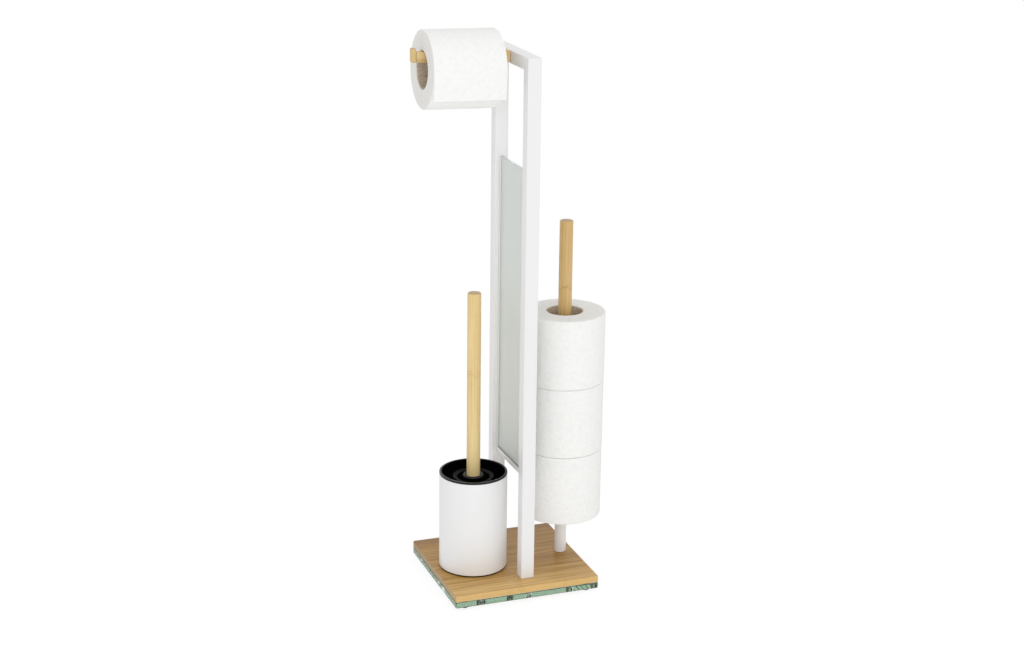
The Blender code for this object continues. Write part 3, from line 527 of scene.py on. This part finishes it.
def spinProfile(profile, steps, closed=False, bevels=()):
    # turn (radius, height) points about Z; bevels are (width, segments, height) of sharp rings
    bm = bmesh.new()
    verts = [bm.verts.new((radius, 0, height)) for radius, height in profile]
    for first, second in zip(verts, verts[1:]):
        bm.edges.new((first, second))
    if closed:
        bm.edges.new((verts[-1], verts[0]))
    bmesh.ops.spin(
        bm, geom=bm.verts[:] + bm.edges[:], cent=(0, 0, 0), axis=(0, 0, 1), angle=math.tau, steps=steps,
        use_merge=True,
    )
    bmesh.ops.remove_doubles(bm, verts=bm.verts, dist=turned["merge"])
    bmesh.ops.recalc_face_normals(bm, faces=bm.faces)
    for width, segments, height in bevels:
        rings = []
        for edge in bm.edges:
            level = all(abs(vert.co.z - height) < turned["level"] for vert in edge.verts)
            if level and edge.calc_face_angle(0) > math.radians(turned["sharp"]):
                rings.append(edge)
        bmesh.ops.bevel(
            bm, geom=rings, offset=width, offset_type="OFFSET", segments=segments, profile=0.5,
            affect="EDGES", material=-1, clamp_overlap=True,
        )
    return bm


dress(["front_post", "rear_post", "top_rail"], whiteSteel)
dress(["front_post_plug", "rear_post_plug", "rod_stud", "brush_stud", "holder_nut", "arm_screw"], zincSteel)
for fixing in ("front_post", "rear_post", "pole", "holder"):
    dress([fixing + "_screw", fixing + "_washer"], zincSteel)
dress(["bamboo_base"], boardBamboo)
dress(["roll_arm"], barBamboo)
dress(["arm_end_stop"], blockBamboo)
dress(["glass_pane"], paneGlass)
dress(["pane_strip_front", "pane_strip_rear"], stripPlastic)


def dressGlassBase():
    # polished plate: only the ground arrises along its edges are dull, and painted dark as shade
    dress(["glass_base"], baseGlass)
    mesh = frame["nodes"]["glass_base"].data
    mesh.materials.append(groundEdgeShade)
    least, most = clear["groundTilt"]
    for face in mesh.polygons:
        face.material_index = 1 if least < abs(face.normal.z) < most else 0


dressGlassBase()

rail = {"gap": 0.9 * mm, "bed": 0.3 * mm, "edge": 0.3 * mm, "skin": 0.4 * mm}


def makeGlassRail():
    # the channel under the pane: its section pushed along Y; its inside is painted black, as the shade in
    # the gap on both sides of the glass
    (left, front, bottom), (right, back, top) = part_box("glass_rail")
    paneLow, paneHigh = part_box("glass_pane")
    bed = paneLow[2] - rail["bed"]
    near, far = paneLow[0] - rail["gap"], paneHigh[0] + rail["gap"]
    outline = [
        (left, bottom), (right, bottom), (right, top), (far, top), (far, bed), (near, bed), (near, top),
        (left, top),
    ]
    bm = bmesh.new()
    section = bm.faces.new([bm.verts.new((x, front, z)) for x, z in outline])
    made = bmesh.ops.extrude_face_region(bm, geom=[section])["geom"]
    moved = [part for part in made if isinstance(part, bmesh.types.BMVert)]
    bmesh.ops.translate(bm, vec=(0, back - front, 0), verts=moved)
    bmesh.ops.recalc_face_normals(bm, faces=bm.faces)
    long = [edge for edge in bm.edges if abs(edge.verts[0].co.y - edge.verts[1].co.y) > mm]
    bmesh.ops.bevel(
        bm, geom=long, offset=rail["edge"], offset_type="OFFSET", segments=2, profile=0.5, affect="EDGES",
        material=-1, clamp_overlap=True,
    )
    # the faces inside the channel are painted black as shade
    for face in bm.faces:
        mid = face.calc_center_median()
        inside = left + rail["skin"] < mid.x < right - rail["skin"] and bottom < mid.z < top
        face.material_index = 1 if inside else 0
    finishPiece(
        "glass_rail_painted", bm, [whiteSteel, rubberAndRailShade], "stand", ["glass_rail"]
    )


makeGlassRail()
holder = middle("holder_sleeve")
pole = middle("spare_roll_rod")

sleeve = {"wall": 0.8 * mm, "corner": 1 * mm, "rim": 0.25 * mm, "drain": 2.8 * mm}


def makeSleeve():
    # the painted cup, with a drain hole in its floor
    bottom, top = levels("holder_sleeve")
    outer = radiusOf("holder_sleeve")
    inner = outer - sleeve["wall"]
    floor = bottom + sleeve["wall"]
    profile = [
        (outer, top), (outer, bottom), (sleeve["drain"], bottom), (sleeve["drain"], floor),
        (inner, floor), (inner, top),
    ]
    bevels = [(sleeve["corner"], 4, bottom), (sleeve["rim"], 2, top)]
    bm = placeAt(spinProfile(profile, turned["steps"], closed=True, bevels=bevels), holder)
    finishPiece("holder_sleeve_painted", bm, [whiteSteel], "stand", ["holder_sleeve"])


footRing = {"width": 6 * mm, "inset": 0.7 * mm, "edge": 0.3 * mm}


def makeFootRing():
    # the rubber ring that the cup stands on
    bottom, top = levels("holder_foot_ring")
    outer = radiusOf("holder_sleeve") - footRing["inset"]
    inner = outer - footRing["width"]
    profile = [(outer, top), (outer, bottom), (inner, bottom), (inner, top)]
    bevels = [(footRing["edge"], 2, bottom), (footRing["edge"], 2, top)]
    bm = placeAt(spinProfile(profile, turned["steps"], closed=True, bevels=bevels), holder)
    finishPiece(
        "holder_ring_rubber", bm, [rubberAndRailShade], "stand", ["holder_foot_ring"]
    )


insert = {
    "wall": 1.8 * mm, "lip": 2.4 * mm, "lipEdge": 0.8 * mm,
    "ledge": 3 * mm, "ledgeEdge": 0.3 * mm, "ledgeDrop": 6.1 * mm,
    "draft": 1.5 * mm, "recess": 14 * mm, "rise": 7 * mm, "slope": 0.4, "corner": 3 * mm,
    "clearance": 0.5 * mm, "skin": 0.15 * mm, "facing": 0.3,
}


def makeInsert():
    # the lift-out cup: glossy lip over the sleeve, a ledge under the lid, a raised middle in its floor; its
    # inside is painted shade
    bottom, top = levels("holder_insert")
    outer = radiusOf("holder_insert")
    wall = insert["wall"]
    mouth = outer - sleeve["wall"] - insert["clearance"] - wall
    throat = mouth - insert["ledge"]
    foot = throat - insert["draft"]
    ledge = levels("brush_lid")[1] - insert["ledgeDrop"]
    floor = bottom + wall
    rise = floor + insert["rise"]
    recess = insert["recess"]
    peak = recess - insert["rise"] * insert["slope"]
    inside = wall * insert["slope"]
    profile = [
        (0, rise), (peak, rise), (recess, floor), (foot, floor), (throat, ledge), (mouth, ledge),
        (mouth, top), (outer, top), (outer, top - insert["lip"]), (mouth + wall, top - insert["lip"]),
        (mouth + wall, ledge - wall), (throat + wall, ledge - wall), (foot + wall, bottom),
        (recess - inside, bottom), (peak - inside, rise - wall), (0, rise - wall),
    ]
    bevels = [
        (insert["corner"], 4, bottom), (insert["corner"], 4, floor), (insert["lipEdge"], 4, top),
        (insert["ledgeEdge"], 2, ledge),
    ]
    bm = placeAt(spinProfile(profile, turned["steps"], bevels=bevels), holder)
    bm.normal_update()
    # faces that look inward, below the lip, take the plastic with no reflection: painted shade
    for face in bm.faces:
        mid = face.calc_center_median()
        outward = Vector((mid.x - holder.x, mid.y - holder.y, 0))
        inward = -face.normal.dot(outward.normalized())
        faceIn = inward > insert["facing"] or face.normal.z > insert["facing"]
        inner = faceIn and outward.length < mouth + insert["skin"] and mid.z < top - insert["skin"]
        face.material_index = 1 if inner else 0
    skins = [glossPlastic, shadedPlastic]
    finishPiece("holder_insert_moulded", bm, skins, "insert", ["holder_insert"])


makeSleeve()
makeFootRing()
makeInsert()
print("stage: holder made")

lid = {
    "thickness": 2.2 * mm, "edge": 0.3 * mm, "clearance": 0.8 * mm,
    "collar": 3.6 * mm, "collarTop": 13.4 * mm, "collarFoot": 14.6 * mm, "collarEdge": 1.8 * mm,
    "dish": 21.5 * mm, "dishWidth": 5 * mm, "dishDepth": 1.2 * mm, "dishSteps": 12,
    "socket": 12 * mm, "floor": 2 * mm, "wall": 2.6 * mm, "stud": 3.4 * mm,
}


def makeLid():
    # dished disc with a round collar at the handle: painted shade everywhere (the plastic with no
    # reflection) but on the collar, which is satin, and on the dish's slope, which keeps a faint sheen, so
    # that highlights show only there
    top = levels("brush_lid")[1]
    rim = radiusOf("brush_lid")
    plate = top - lid["collar"]
    under = plate - lid["thickness"]
    bore = radiusOf("brush_handle") + lid["clearance"]
    socket = bore + lid["wall"]
    base = top - lid["socket"]
    ledge = plate + lid["dishDepth"]
    profile = [(bore, top), (lid["collarTop"], top), (lid["collarFoot"], plate)]
    for i in range(lid["dishSteps"] + 1):
        share = i / lid["dishSteps"]
        rise = lid["dishDepth"] * (1 - math.cos(math.pi * share)) / 2
        profile.append((lid["dish"] + lid["dishWidth"] * share, plate + rise))
    profile += [(rim, ledge), (rim, under), (socket, under), (socket, base - lid["floor"])]
    profile += [(lid["stud"], base - lid["floor"]), (lid["stud"], base), (bore, base)]
    bevels = [(lid["collarEdge"], 6, top), (lid["edge"], 2, ledge), (lid["edge"], 2, under)]
    bm = placeAt(spinProfile(profile, turned["steps"], closed=True, bevels=bevels), holder)
    # the collar and the dish's slope keep a sheen for their highlights; the rest of the lid is painted shade
    for face in bm.faces:
        mid = face.calc_center_median()
        reach = math.hypot(mid.x - holder.x, mid.y - holder.y)
        collar = mid.z > top - lid["collarEdge"] and reach > bore
        slope = plate < mid.z < ledge and lid["dish"] < reach < lid["dish"] + lid["dishWidth"]
        face.material_index = 1 if collar else 2 if slope else 0
    skins = [shadedPlastic, satinPlastic, dullPlastic]
    finishPiece("brush_lid_moulded", bm, skins, "brush", ["brush_lid"])


rod = {
    "stud": 3.4 * mm, "studDepth": 24 * mm, "rings": 24, "edge": 0.3 * mm,
    "rounding": {"brush_handle": 1.4 * mm, "spare_roll_rod": 1.2 * mm},
}


def makeRod(node, material, body, at):
    # a turned bamboo rod with a rounded top and the stud's hole below
    bottom, top = levels(node)
    radius = radiusOf(node)
    rounding = rod["rounding"][node]
    shoulder = top - rounding
    profile = [(0, top)] + arc((radius - rounding, shoulder), (rounding, rounding), 90, 0, steps=4)
    for i in range(1, rod["rings"]):
        profile.append((radius, shoulder + (bottom - shoulder) * i / rod["rings"]))
    roof = bottom + rod["studDepth"]
    profile += [(radius, bottom), (rod["stud"], bottom), (rod["stud"], roof), (0, roof)]
    bm = placeAt(spinProfile(profile, turned["rodSteps"], bevels=[(rod["edge"], 2, bottom)]), at)
    finishPiece(node + "_turned", bm, [material], body, [node])


stem = {
    "dome": 11.5 * mm, "backing": 12.8 * mm, "headDrop": 23.4 * mm, "neck": 6.5 * mm, "neckRise": 6.3 * mm,
    "cap": 9 * mm, "capHeight": 4 * mm, "stud": 3.4 * mm, "studDepth": 14 * mm, "edge": 0.5 * mm,
}


def makeStem():
    # screw cap, neck and the domed core that carries the bristles
    bottom, top = levels("brush_stem")
    head = top - stem["headDrop"]
    studEnd = top - stem["studDepth"]
    capFoot = top - stem["capHeight"]
    profile = [
        (0, studEnd), (stem["stud"], studEnd), (stem["stud"], top), (stem["cap"], top),
        (stem["cap"], capFoot), (stem["neck"], capFoot - stem["cap"] + stem["neck"]),
        (stem["neck"], head + stem["neckRise"]), (stem["backing"], head),
    ]
    profile += arc((0, bottom + stem["dome"]), (stem["dome"], stem["dome"]), 0, -90, steps=8)
    bm = placeAt(spinProfile(profile, turned["rodSteps"], bevels=[(stem["edge"], 2, top)]), holder)
    finishPiece("brush_stem_moulded", bm, [glossPlastic], "brush", ["brush_stem"])


bristle = {
    "rows": 7, "around": 20, "domeRings": ((18, 20), (40, 16), (62, 10), (85, 4)),  # lean and count of each
    "perTuft": 15, "tuft": 0.83 * mm, "radius": 0.26 * mm, "taper": 0.7, "reach": 34.3 * mm,
    "splay": 0.055, "uneven": 0.07, "seed": 7,
    "backing": 12.8 * mm, "bore": 11.8 * mm, "root": 12.4 * mm, "steps": 48,
}


def makeBacking(high, domeZ):
    # the domed shell that the tufts stand in
    outer, bore = bristle["backing"], bristle["bore"]
    inside = arc((0, domeZ), (bore, bore), -90, 0, steps=8)
    outside = arc((0, domeZ), (outer, outer), 0, -90, steps=8)
    return spinProfile(inside + [(bore, high), (outer, high)] + outside, bristle["steps"])


def makeBristles():
    # tufts of thin strands out of the backing, trimmed to a rounded head
    low, high = levels("brush_bristles")
    chance = random.Random(bristle["seed"])
    domeZ = levels("brush_stem")[0] + stem["dome"]
    bm = makeBacking(high, domeZ)
    roots = []
    # every other row stands half a step round, and the rings on the dome are turned too
    for row in range(bristle["rows"]):
        height = high - (high - domeZ) * (row + 0.5) / bristle["rows"]
        for i in range(bristle["around"]):
            turn = math.tau * (i + 0.5 * (row % 2)) / bristle["around"]
            roots.append((Vector((0, 0, height)), Vector((math.cos(turn), math.sin(turn), 0))))
    for lean, count in bristle["domeRings"]:
        for i in range(count):
            turn = math.tau * (i + 0.25 * (lean % 4)) / count
            outward = Vector((math.cos(turn), math.sin(turn), 0)) * math.cos(math.radians(lean))
            roots.append((Vector((0, 0, domeZ)), outward - Vector((0, 0, math.sin(math.radians(lean))))))
    drop = domeZ - low
    for centre, outward in roots:
        side = outward.orthogonal().normalized()
        for strand in range(bristle["perTuft"]):
            spread = Matrix.Rotation(chance.uniform(0, math.tau), 3, outward) @ side
            share = math.sqrt(chance.random())
            root = centre + outward * bristle["root"] + spread * bristle["tuft"] * share
            aim = (outward + spread * bristle["splay"] * share).normalized()
            flat = math.hypot(aim.x, aim.y) / bristle["reach"]
            length = 1 / math.hypot(flat, aim.z / drop) - bristle["root"]
            length *= 1 - bristle["uneven"] * chance.random()
            turnTo = Vector((0, 0, 1)).rotation_difference(aim).to_matrix().to_4x4()
            bmesh.ops.create_cone(
                bm, cap_ends=True, segments=3, radius1=bristle["radius"],
                radius2=bristle["radius"] * bristle["taper"], depth=length,
                matrix=Matrix.Translation(root + aim * length / 2) @ turnTo,
            )
    placeAt(bm, holder)
    finishPiece("brush_bristles_tufted", bm, [nylon], "brush", ["brush_bristles"])


makeLid()
makeRod("brush_handle", handleBamboo, "brush", holder)
makeStem()
makeBristles()
print("stage: brush made")

spacer = {
    "thread": 3.4 * mm, "threadDepth": 24 * mm, "screw": 2.8 * mm, "screwDepth": 11 * mm, "edge": 0.4 * mm,
}
plate = {"hole": 3.4 * mm, "edge": 0.7 * mm}


def makeSpacer():
    # the white tube that holds the rolls off the base, threaded from both ends
    bottom, top = levels("pole_spacer")
    radius = radiusOf("pole_spacer")
    threadEnd = top - spacer["threadDepth"]
    screwEnd = bottom + spacer["screwDepth"]
    profile = [(0, threadEnd), (spacer["thread"], threadEnd), (spacer["thread"], top), (radius, top)]
    profile += [(radius, bottom), (spacer["screw"], bottom), (spacer["screw"], screwEnd), (0, screwEnd)]
    bevels = [(spacer["edge"], 3, top), (spacer["edge"], 3, bottom)]
    bm = placeAt(spinProfile(profile, turned["rodSteps"], bevels=bevels), pole)
    finishPiece("pole_spacer_painted", bm, [whiteSteel], "stand", ["pole_spacer"])


def makePlate():
    # the disc that the spare rolls stand on
    bottom, top = levels("roll_plate")
    radius = radiusOf("roll_plate")
    profile = [(plate["hole"], top), (radius, top), (radius, bottom), (plate["hole"], bottom)]
    bevels = [(plate["edge"], 3, bottom), (plate["edge"], 3, top)]
    bm = placeAt(spinProfile(profile, turned["steps"], closed=True, bevels=bevels), pole)
    finishPiece("roll_plate_painted", bm, [whiteSteel], "stand", ["roll_plate"])


bumper = {"radius": 4.5 * mm, "tread": 3.7 * mm, "band": 0.9 * mm, "steps": 32}


def makeFeet():
    # four stick-on bumpers, each a low dome with a flat tread
    for node in ("foot_front_left", "foot_front_right", "foot_rear_left", "foot_rear_right"):
        bottom, top = levels(node)
        shoulder = top - bumper["band"]
        rounding = (bumper["radius"] - bumper["tread"], shoulder - bottom)
        dome = arc((bumper["tread"], shoulder), rounding, 0, -90, steps=5)
        profile = [(0, top), (bumper["radius"], top)] + dome + [(0, bottom)]
        bm = placeAt(spinProfile(profile, bumper["steps"]), middle(node))
        finishPiece(node + "_bumper", bm, [footPlastic], "stand", [node])


makeSpacer()
makePlate()
makeRod("spare_roll_rod", poleBamboo, "stand", pole)
makeFeet()
print("stage: pole and feet made")

roll = {
    "steps": 144, "side": 14, "edge": 1.4 * mm, "endRings": 22, "endUneven": 0.16 * mm,
    "sag": 0.35 * mm, "sagLevel": 0.6, "wave": 18 * mm, "inset": 0.04 * mm, "gap": 0.3 * mm,
    "slack": {"spare_roll_1": 0.7 * mm, "spare_roll_2": 0.45 * mm},  # these two are wound a little smaller
    "seeds": {"spare_roll_1": 11, "spare_roll_2": 12, "spare_roll_3": 13, "used_roll": 5},
}
core = {"wall": 1.2 * mm, "inset": 0.9 * mm, "steps": 96, "edge": 0.2 * mm}


def measureRoll(node, centre, axis):
    # the radius and half the length of a roll's node about its own axis
    radius = half = 0
    for vert in frame["nodes"][node].data.vertices:
        away = vert.co - centre
        along = away.dot(axis)
        half = max(half, abs(along))
        radius = max(radius, (away - axis * along).length)
    return radius, half


def rollProfile(radius, bore, half, chance):
    # down one end, round its soft edge, along the side and back: the layers end a little unevenly
    edge = roll["edge"]
    face = half - roll["inset"]
    end = []
    for i in range(roll["endRings"] + 1):
        share = i / roll["endRings"]
        uneven = chance.uniform(0, roll["endUneven"]) if 0 < share < 1 else 0
        end.append((bore + (radius - edge - bore) * share, face - uneven))
    end += arc((radius - edge, face - edge), (edge, edge), 72, 0, steps=4)
    side = [(radius, (half - edge) * (1 - 2 * i / roll["side"])) for i in range(1, roll["side"])]
    other = [(reach, -height) for reach, height in reversed(end)]
    return end + side + other


def makeRoll(body, centre, axis):
    # the wound paper, a little lumpy, and the tube that it is wound on
    seed = roll["seeds"][body]
    radius, half = measureRoll(body + "_paper", centre, axis)
    coreRadius = measureRoll(body + "_core", centre, axis)[0]
    radius -= roll["slack"].get(body, 0)
    turnTo = Matrix.Translation(centre) @ Vector((0, 0, 1)).rotation_difference(axis).to_matrix().to_4x4()
    profile = rollProfile(radius, coreRadius + roll["gap"], half, random.Random(seed))
    bm = spinProfile(profile, roll["steps"], closed=True)
    winding, cut = [], []
    for vert in bm.verts:
        outward = Vector((vert.co.x, vert.co.y, 0))
        reach = outward.length
        winding.append(reach)
        cut.append(1.0 if reach < radius - roll["edge"] else 0.0)
        share = max(0, (reach - coreRadius) / (radius - coreRadius))
        lump = noise.noise((vert.co + Vector((seed, 0, 0))) / roll["wave"]) - roll["sagLevel"]
        vert.co += outward / reach * lump * roll["sag"] * share
    bmesh.ops.transform(bm, matrix=turnTo, verts=bm.verts)
    piece = finishPiece(body + "_wound", bm, [paper], body, [body + "_paper"], smooth=60)
    piece.data.attributes.new("windingRadius", "FLOAT", "POINT").data.foreach_set("value", winding)
    piece.data.attributes.new("cutEnd", "FLOAT", "POINT").data.foreach_set("value", cut)
    inner = coreRadius - core["wall"]
    end = half - core["inset"]
    tube = [(coreRadius, end), (coreRadius, -end), (inner, -end), (inner, end)]
    bevels = [(core["edge"], 1, end), (core["edge"], 1, -end)]
    bm = spinProfile(tube, core["steps"], closed=True, bevels=bevels)
    bmesh.ops.transform(bm, matrix=turnTo, verts=bm.verts)
    finishPiece(body + "_tube", bm, [cardboard], body, [body + "_core"])
    return radius, half


spin = [joint for joint in frame["joints"] if joint["name"] == "used_roll_spin"][0]
usedCentre = Vector(spin["pos_m"])
usedAxis = Vector(spin["axis"]).normalized()  # it falls a little towards the frame, as the arm does
for body in ("spare_roll_1", "spare_roll_2", "spare_roll_3"):
    makeRoll(body, middle(body + "_paper"), Vector((0, 0, 1)))
usedRadius, usedHalf = makeRoll("used_roll", usedCentre, -usedAxis)

tail = {
    "lift": 0.35 * mm, "from": -75, "to": 4, "wrapSteps": 24, "hang": 31 * mm, "hangSteps": 10,
    "out": 1.6 * mm, "thickness": 0.25 * mm, "inset": 0.3 * mm, "columns": 30,
    "flutter": 1.1 * mm, "wave": 14 * mm, "free": 4 * mm,
}


def makeTail():
    # the last sheet comes over the front of the roll and hangs a little way down
    bm = bmesh.new()
    reach = usedRadius + tail["lift"] - roll["sag"]
    points = []
    for i in range(tail["wrapSteps"] + 1):
        turn = math.radians(tail["from"] + (tail["to"] - tail["from"]) * i / tail["wrapSteps"])
        points.append((-reach * math.cos(turn), -reach * math.sin(turn)))
    lastY, lastZ = points[-1]
    for i in range(1, tail["hangSteps"] + 1):
        share = i / tail["hangSteps"]
        points.append((lastY + tail["out"] * share ** 2, lastZ - (tail["hang"] + lastZ) * share))
    half = usedHalf - tail["inset"]
    verts = [bm.verts.new((-half, y, z)) for y, z in points]
    edges = [bm.edges.new((first, second)) for first, second in zip(verts, verts[1:])]
    for i in range(tail["columns"]):
        made = bmesh.ops.extrude_edge_only(bm, edges=edges)["geom"]
        edges = [part for part in made if isinstance(part, bmesh.types.BMEdge)]
        moved = [part for part in made if isinstance(part, bmesh.types.BMVert)]
        bmesh.ops.translate(bm, vec=(2 * half / tail["columns"], 0, 0), verts=moved)
    for vert in bm.verts:
        free = max(0, (-vert.co.z - tail["free"]) / tail["hang"])
        vert.co.y += noise.noise(vert.co / tail["wave"]) * tail["flutter"] * free
    bmesh.ops.recalc_face_normals(bm, faces=bm.faces)
    bmesh.ops.solidify(bm, geom=bm.faces[:], thickness=tail["thickness"])
    bmesh.ops.recalc_face_normals(bm, faces=bm.faces)
    lie = Vector((1, 0, 0)).rotation_difference(usedAxis).to_matrix().to_4x4()
    bmesh.ops.transform(bm, matrix=Matrix.Translation(usedCentre) @ lie, verts=bm.verts)
    piece = finishPiece("used_roll_last_sheet", bm, [paper], "used_roll", smooth=60)
    winding = [usedRadius] * len(piece.data.vertices)
    piece.data.attributes.new("windingRadius", "FLOAT", "POINT").data.foreach_set("value", winding)


makeTail()
print("stage: paper rolls made")

studio = {
    # the power in watts, the size and the place of each softbox, in metres
    "softboxes": {
        "key_softbox": (21.0, 1.6, (-0.85, -2.94, 1.29)),
        "fill_softbox": (0.8, 1.8, (1.9, -0.9, 1.2)),
        "top_softbox": (6.0, 1.6, (0.1, -0.2, 3.2)),
    },
    "aim": (0, 0, 0.35), "world": 0.76,
    "floor": 6.0, "floorCells": 8, "floorGap": 0.05 * mm, "shadow": 0.16, "white": 1.045,
}


def seenWhite(tree):
    # 1 for the camera and for what glass and gloss show of the studio, 0 for the light that falls on things
    path = addNode(tree, "ShaderNodeLightPath").outputs
    seen = addNode(
        tree, "ShaderNodeMath", {0: path["Is Camera Ray"], 1: path["Is Glossy Ray"]}, operation="ADD"
    )
    return addNode(
        tree, "ShaderNodeMath", {0: seen, 1: path["Is Transmission Ray"]}, operation="ADD", use_clamp=True
    )


def makeFloor():
    # bright white, with a share of plain matt white that takes the shadow
    bm = bmesh.new()
    cells = studio["floorCells"]
    bmesh.ops.create_grid(bm, x_segments=cells, y_segments=cells, size=studio["floor"])
    bmesh.ops.translate(bm, vec=(0, 0, -studio["floorGap"]), verts=bm.verts)
    mesh = bpy.data.meshes.new("studio_floor")
    bm.to_mesh(mesh)
    bm.free()
    material = bpy.data.materials.new("white_studio_floor")
    material.use_nodes = True
    tree = material.node_tree
    tree.nodes.clear()
    matt = addNode(tree, "ShaderNodeBsdfDiffuse", {"Color": fromHex("FFFFFF")})
    bright = addNode(tree, "ShaderNodeEmission", {"Color": fromHex("FFFFFF"), "Strength": studio["white"]})
    share = addNode(
        tree, "ShaderNodeMath", {0: seenWhite(tree), 1: 1 - studio["shadow"]}, operation="MULTIPLY"
    )
    mixed = addNode(tree, "ShaderNodeMixShader", {0: share, 1: matt, 2: bright})
    addNode(tree, "ShaderNodeOutputMaterial", {"Surface": mixed})
    mesh.materials.append(material)
    floor = bpy.data.objects.new("studio_floor", mesh)
    bpy.context.scene.collection.objects.link(floor)


def addSoftbox(name, power, size, at):
    # a square lamp, turned towards the stand
    light = bpy.data.lights.new(name, "AREA")
    light.shape = "SQUARE"
    light.size = size
    light.energy = power
    lamp = bpy.data.objects.new(name, light)
    lamp.location = at
    lamp.rotation_euler = (Vector(studio["aim"]) - Vector(at)).to_track_quat("-Z", "Y").to_euler()
    bpy.context.scene.collection.objects.link(lamp)


def makeWorld():
    # even light from all round, seen as pure white
    world = bpy.data.worlds.new("white_studio")
    world.use_nodes = True
    tree = world.node_tree
    tree.nodes.clear()
    light = addNode(
        tree, "ShaderNodeBackground", {"Color": fromHex("FFFFFF"), "Strength": studio["world"]}
    )
    white = addNode(tree, "ShaderNodeBackground", {"Color": fromHex("FFFFFF"), "Strength": 1.0})
    mixed = addNode(tree, "ShaderNodeMixShader", {0: seenWhite(tree), 1: light, 2: white})
    addNode(tree, "ShaderNodeOutputWorld", {"Surface": mixed})
    bpy.context.scene.world = world


viewpoint = {
    "azimuth": -20.235, "elevation": 17.449, "roll": 0.684, "distance": 2.4826,
    "lens": 68.18, "sensor": 36.0, "sideways": 6.94 * mm, "height": 349.0 * mm, "centre": -2.775 * mm,
}


def makeCamera():
    # it looks at the stand from its azimuth and elevation, tilted a little about its own line of sight
    turn, lift, tilt = (math.radians(viewpoint[name]) for name in ("azimuth", "elevation", "roll"))
    back = Vector((math.sin(turn) * math.cos(lift), -math.cos(turn) * math.cos(lift), math.sin(lift)))
    right = Vector((math.cos(turn), math.sin(turn), 0))
    up = back.cross(right)
    across = right * math.cos(tilt) + up * math.sin(tilt)
    upright = up * math.cos(tilt) - right * math.sin(tilt)
    target = right * viewpoint["sideways"] + Vector((viewpoint["centre"], 0, viewpoint["height"]))
    camera = bpy.data.cameras.new("viewpoint")
    camera.lens = viewpoint["lens"]
    camera.sensor_width = viewpoint["sensor"]
    eye = bpy.data.objects.new("viewpoint", camera)
    pose = Matrix((across, upright, back)).transposed().to_4x4()
    eye.matrix_world = Matrix.Translation(target + back * viewpoint["distance"]) @ pose
    bpy.context.scene.collection.objects.link(eye)
    bpy.context.scene.camera = eye


makeFloor()
for name, (power, size, at) in studio["softboxes"].items():
    addSoftbox(name, power, size, at)
makeWorld()
makeCamera()
bpy.context.scene.view_settings.view_transform = "Standard"
bpy.context.scene.cycles.glossy_bounces = clear["bounces"]  # light runs the whole length of the glass plate
bpy.context.scene.cycles.max_bounces = clear["bounces"]
print("stage: studio made")
